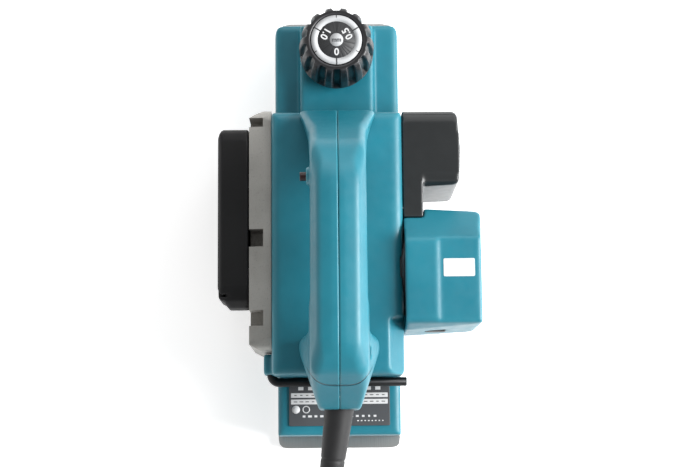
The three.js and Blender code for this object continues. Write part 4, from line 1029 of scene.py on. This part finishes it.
def add_prints():
    plate_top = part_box("rating_plate")[1][2] / MM
    sheet = bevelled("rating_plate", "rating_plate_foil", 0.25, 2)
    settle(sheet, "housing", "plate_grey", plate, "rating_plate")
    white_rows = print_rows_tree("white print rows", paper)
    dark_rows = print_rows_tree("dark print rows", ink)
    for name, y0, y1 in (("plate_field_upper", 32.3, 35.2), ("plate_field_lower", 28.0, 31.1)):
        field = mesh_object(name, *flat_panel(-31.4, 31.4, y0, y1, plate_top, plate_top + 0.06, 0.3))
        settle(field, "housing", "white_print", paper, smooth=False)
    rows = [
        ("plate_heading", white_rows, 1, 9, 50, 0, 3.0, 0.62, 0.3, 3, 38.6, 0),
        ("plate_field_print", dark_rows, 2, 16, 57, 4.2, 0.5, 0.75, 0.5, 4, 31.7, 0.06),
        ("plate_small_print", white_rows, 1, 13, 46, 0, 1.3, 0.7, 0.6, 5, 20.2, 0),
        ("plate_last_line", white_rows, 1, 8, 16, 0, 0.7, 0.7, 0.5, 6, 17.2, 0),
    ]
    for name, tree, lines, columns, width, depth, stroke, fill, vary, seed, y, lift in rows:
        x = 20 if name == "plate_last_line" else 0
        place = spot(x, y, plate_top + lift + 0.03)
        piece = grown(name, tree, rows=lines, columns=columns, width=width * MM, depth=depth * MM,
                      stroke=stroke * MM, fill=fill, vary=vary, seed=seed, place=place)
        settle(piece, "housing", "white_print", ink if tree is dark_rows else paper, smooth=False)
    mark = washer_tree("plate mark ring", paper)
    for name, x, inner, outer in (("plate_mark_round", -28.2, 0.0, 0.0026),
                                  ("plate_mark_ring", -21.6, 0.0018, 0.0024)):
        piece = grown(name, mark, inner=inner, outer=outer, height=0.00006,
                      place=spot(x, 24.6, plate_top + 0.03))
        settle(piece, "housing", "white_print", paper, smooth=False)
    label_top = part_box("motor_housing")[1][2] / MM - 1
    label = mesh_object("motor_label", *flat_panel(65.6, 85.2, 104.8, 116.1, label_top - 0.1,
                                                   label_top + 0.15, 0.8))
    settle(label, "housing", "white_print", paper, smooth=False)


def flat_panel(x0, x1, y0, y1, z0, z1, corner):
    outline = rounded([(x0, y0, corner), (x1, y0, corner), (x1, y1, corner), (x0, y1, corner)], 4)
    count = len(outline)
    points = [spot(u, v, z) for z in (z0, z1) for u, v in outline]
    faces = [tuple(reversed(range(count))), tuple(range(count, 2 * count))]
    faces += [(k, (k + 1) % count, (k + 1) % count + count, k + count) for k in range(count)]
    return points, faces


add_prints()


# ---------------- cord fittings, wrench

def add_fittings():
    start, end = spot(*GUARD_START), spot(*GUARD_END)
    shares = np.linspace(0, 1, 80)
    radii = []
    for share in shares:
        radius = 9.3 - 3.1 * share
        rib = math.cos((share - 0.56) / 0.1 * 2 * math.pi)
        radius -= 0.5 * max(0.0, rib) ** 6 if 0.55 < share < 0.97 else 0
        radius = 10.4 if share < 0.035 else radius
        radii.append(radius * MM)
    path = [start.lerp(end, share) for share in shares]
    sleeve = tube("strain_relief_sleeve", path, radii, 40)
    settle(sleeve, "housing", "rubber", rubber, "cord_guard")
    tie = settle(strap_round_coil(), "housing", "rubber", rubber)
    settle(mains_cord, "housing", "rubber", rubber, "cord_lead", "cord_coil")
    plug = settle(softened("plug_body", "mains_plug", 0.9, 8), "housing", "black_plastic", black, "plug_body")
    low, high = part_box("socket_wrench")
    radius = 2.9 * MM
    y, z = low[1] + radius, (low[2] + high[2]) / 2
    x = low[0] + radius
    bend = 5 * MM
    arc = [Vector((x + bend - bend * math.sin(k * math.pi / 16),
                   y + bend - bend * math.cos(k * math.pi / 16), z))
           for k in range(9)]
    path = [Vector((high[0], y, z)), Vector((high[0] - 0.6 * MM, y, z)), *arc,
            Vector((x, high[1] - 0.6 * MM, z)),
            Vector((x, high[1], z))]
    radii = [radius * 0.86, *[radius] * (len(path) - 2), radius * 0.86]
    settle(tube("wrench_rod", path, radii, 32), "wrench", "black_steel", blackened, "socket_wrench")


add_fittings()
settle(softened("lock_button", "lock_off_button", 0.35, 3), "lock", "button_red", red, "lock_button")


def paint_cad():
    repaint(blackened, "blade_clamp_1", "blade_clamp_2",
            *(f"{cover}_screw_{end}" for cover in ("handle", "belt_cover") for end in ("rear", "front")))
    repaint(black, "switch_trigger", "switch_body", "cooling_fan", "brush_cap_front", "brush_cap_rear")
    repaint(steel, "motor_shaft", "motor_pulley", "drum_pulley", "cutter_drum", "adjusting_screw",
            "knob_spring", "cord_clamp", *(f"clamp_bolt_{k}" for k in range(1, 5)),
            *(f"{shaft}_bearing_{end}" for shaft in ("motor", "drum") for end in ("left", "right")))
    repaint(blade_steel, "planer_blade_1", "planer_blade_2")
    repaint(laminations, "stator_core", "armature_core")
    repaint(winding, "field_coil_front", "field_coil_rear")
    repaint(bars, "commutator")
    repaint(ribbed_rubber, "drive_belt")
    repaint(bakelite, "brush_holder_front", "brush_holder_rear")
    repaint(carbon, "carbon_brush_front", "carbon_brush_rear")
    repaint(brass, "plug_pin_left", "plug_pin_right")


paint_cad()


# ---------------- studio

def area_light(name, place, aim, size, power, colour=(1, 1, 1)):
    data = bpy.data.lights.new(name, "AREA")
    data.shape = "RECTANGLE"
    data.size, data.size_y = size
    data.energy = power
    data.color = colour
    made = linked(name, data)
    made.location = place
    made.rotation_euler = (Vector(aim) - Vector(place)).to_track_quat("-Z", "Y").to_euler()


FLOOR_REACH, FLOOR_DROP = 4, 0.0003


def grey(value):
    return (value, value, value, 1)


def add_studio():
    corners = [(x * FLOOR_REACH, y * FLOOR_REACH, -FLOOR_DROP)
               for x, y in ((-1, -1), (1, -1), (1, 1), (-1, 1))]
    floor = mesh_object("floor", corners, [(0, 1, 2, 3)])
    finish, tree, shader, coordinates = blank_material("pale floor")
    shader.inputs["Roughness"].default_value = 0.9
    shader.inputs["Specular IOR Level"].default_value = 0.1
    tone = mixed(tree, noise(tree, coordinates, 3, 2), grey(0.93), grey(0.95))
    tree.links.new(tone, shader.inputs["Base Color"])
    shader.inputs["Emission Color"].default_value = (1, 1, 1, 1)
    shader.inputs["Emission Strength"].default_value = 0.5
    floor.data.materials.append(finish)
    area_light("right softbox", (1.1, 0.0, 0.8), (0.0, 0.0, 0.05), (0.8, 1.0), 38)
    area_light("front softbox", (0.1, 1.0, 0.9), (0.0, 0.05, 0.05), (1.2, 0.7), 5)
    area_light("left softbox", (-1.0, -0.1, 0.8), (0.0, 0.0, 0.05), (0.7, 1.0), 0.6)
    world = bpy.data.worlds.new("studio")
    world.use_nodes = True
    tree = world.node_tree
    sky = wire(tree, "ShaderNodeTexCoord").outputs["Generated"]
    height = wire(tree, "ShaderNodeSeparateXYZ", {0: sky}).outputs[2]
    shade = mixed(tree, span(tree, height, 0.35, 0.9), grey(0.9), grey(0.4))
    background = tree.nodes["Background"]
    tree.links.new(shade, background.inputs[0])
    background.inputs[1].default_value = 0.75
    scene.world = world
    scene.view_settings.view_transform = "Standard"


add_studio()
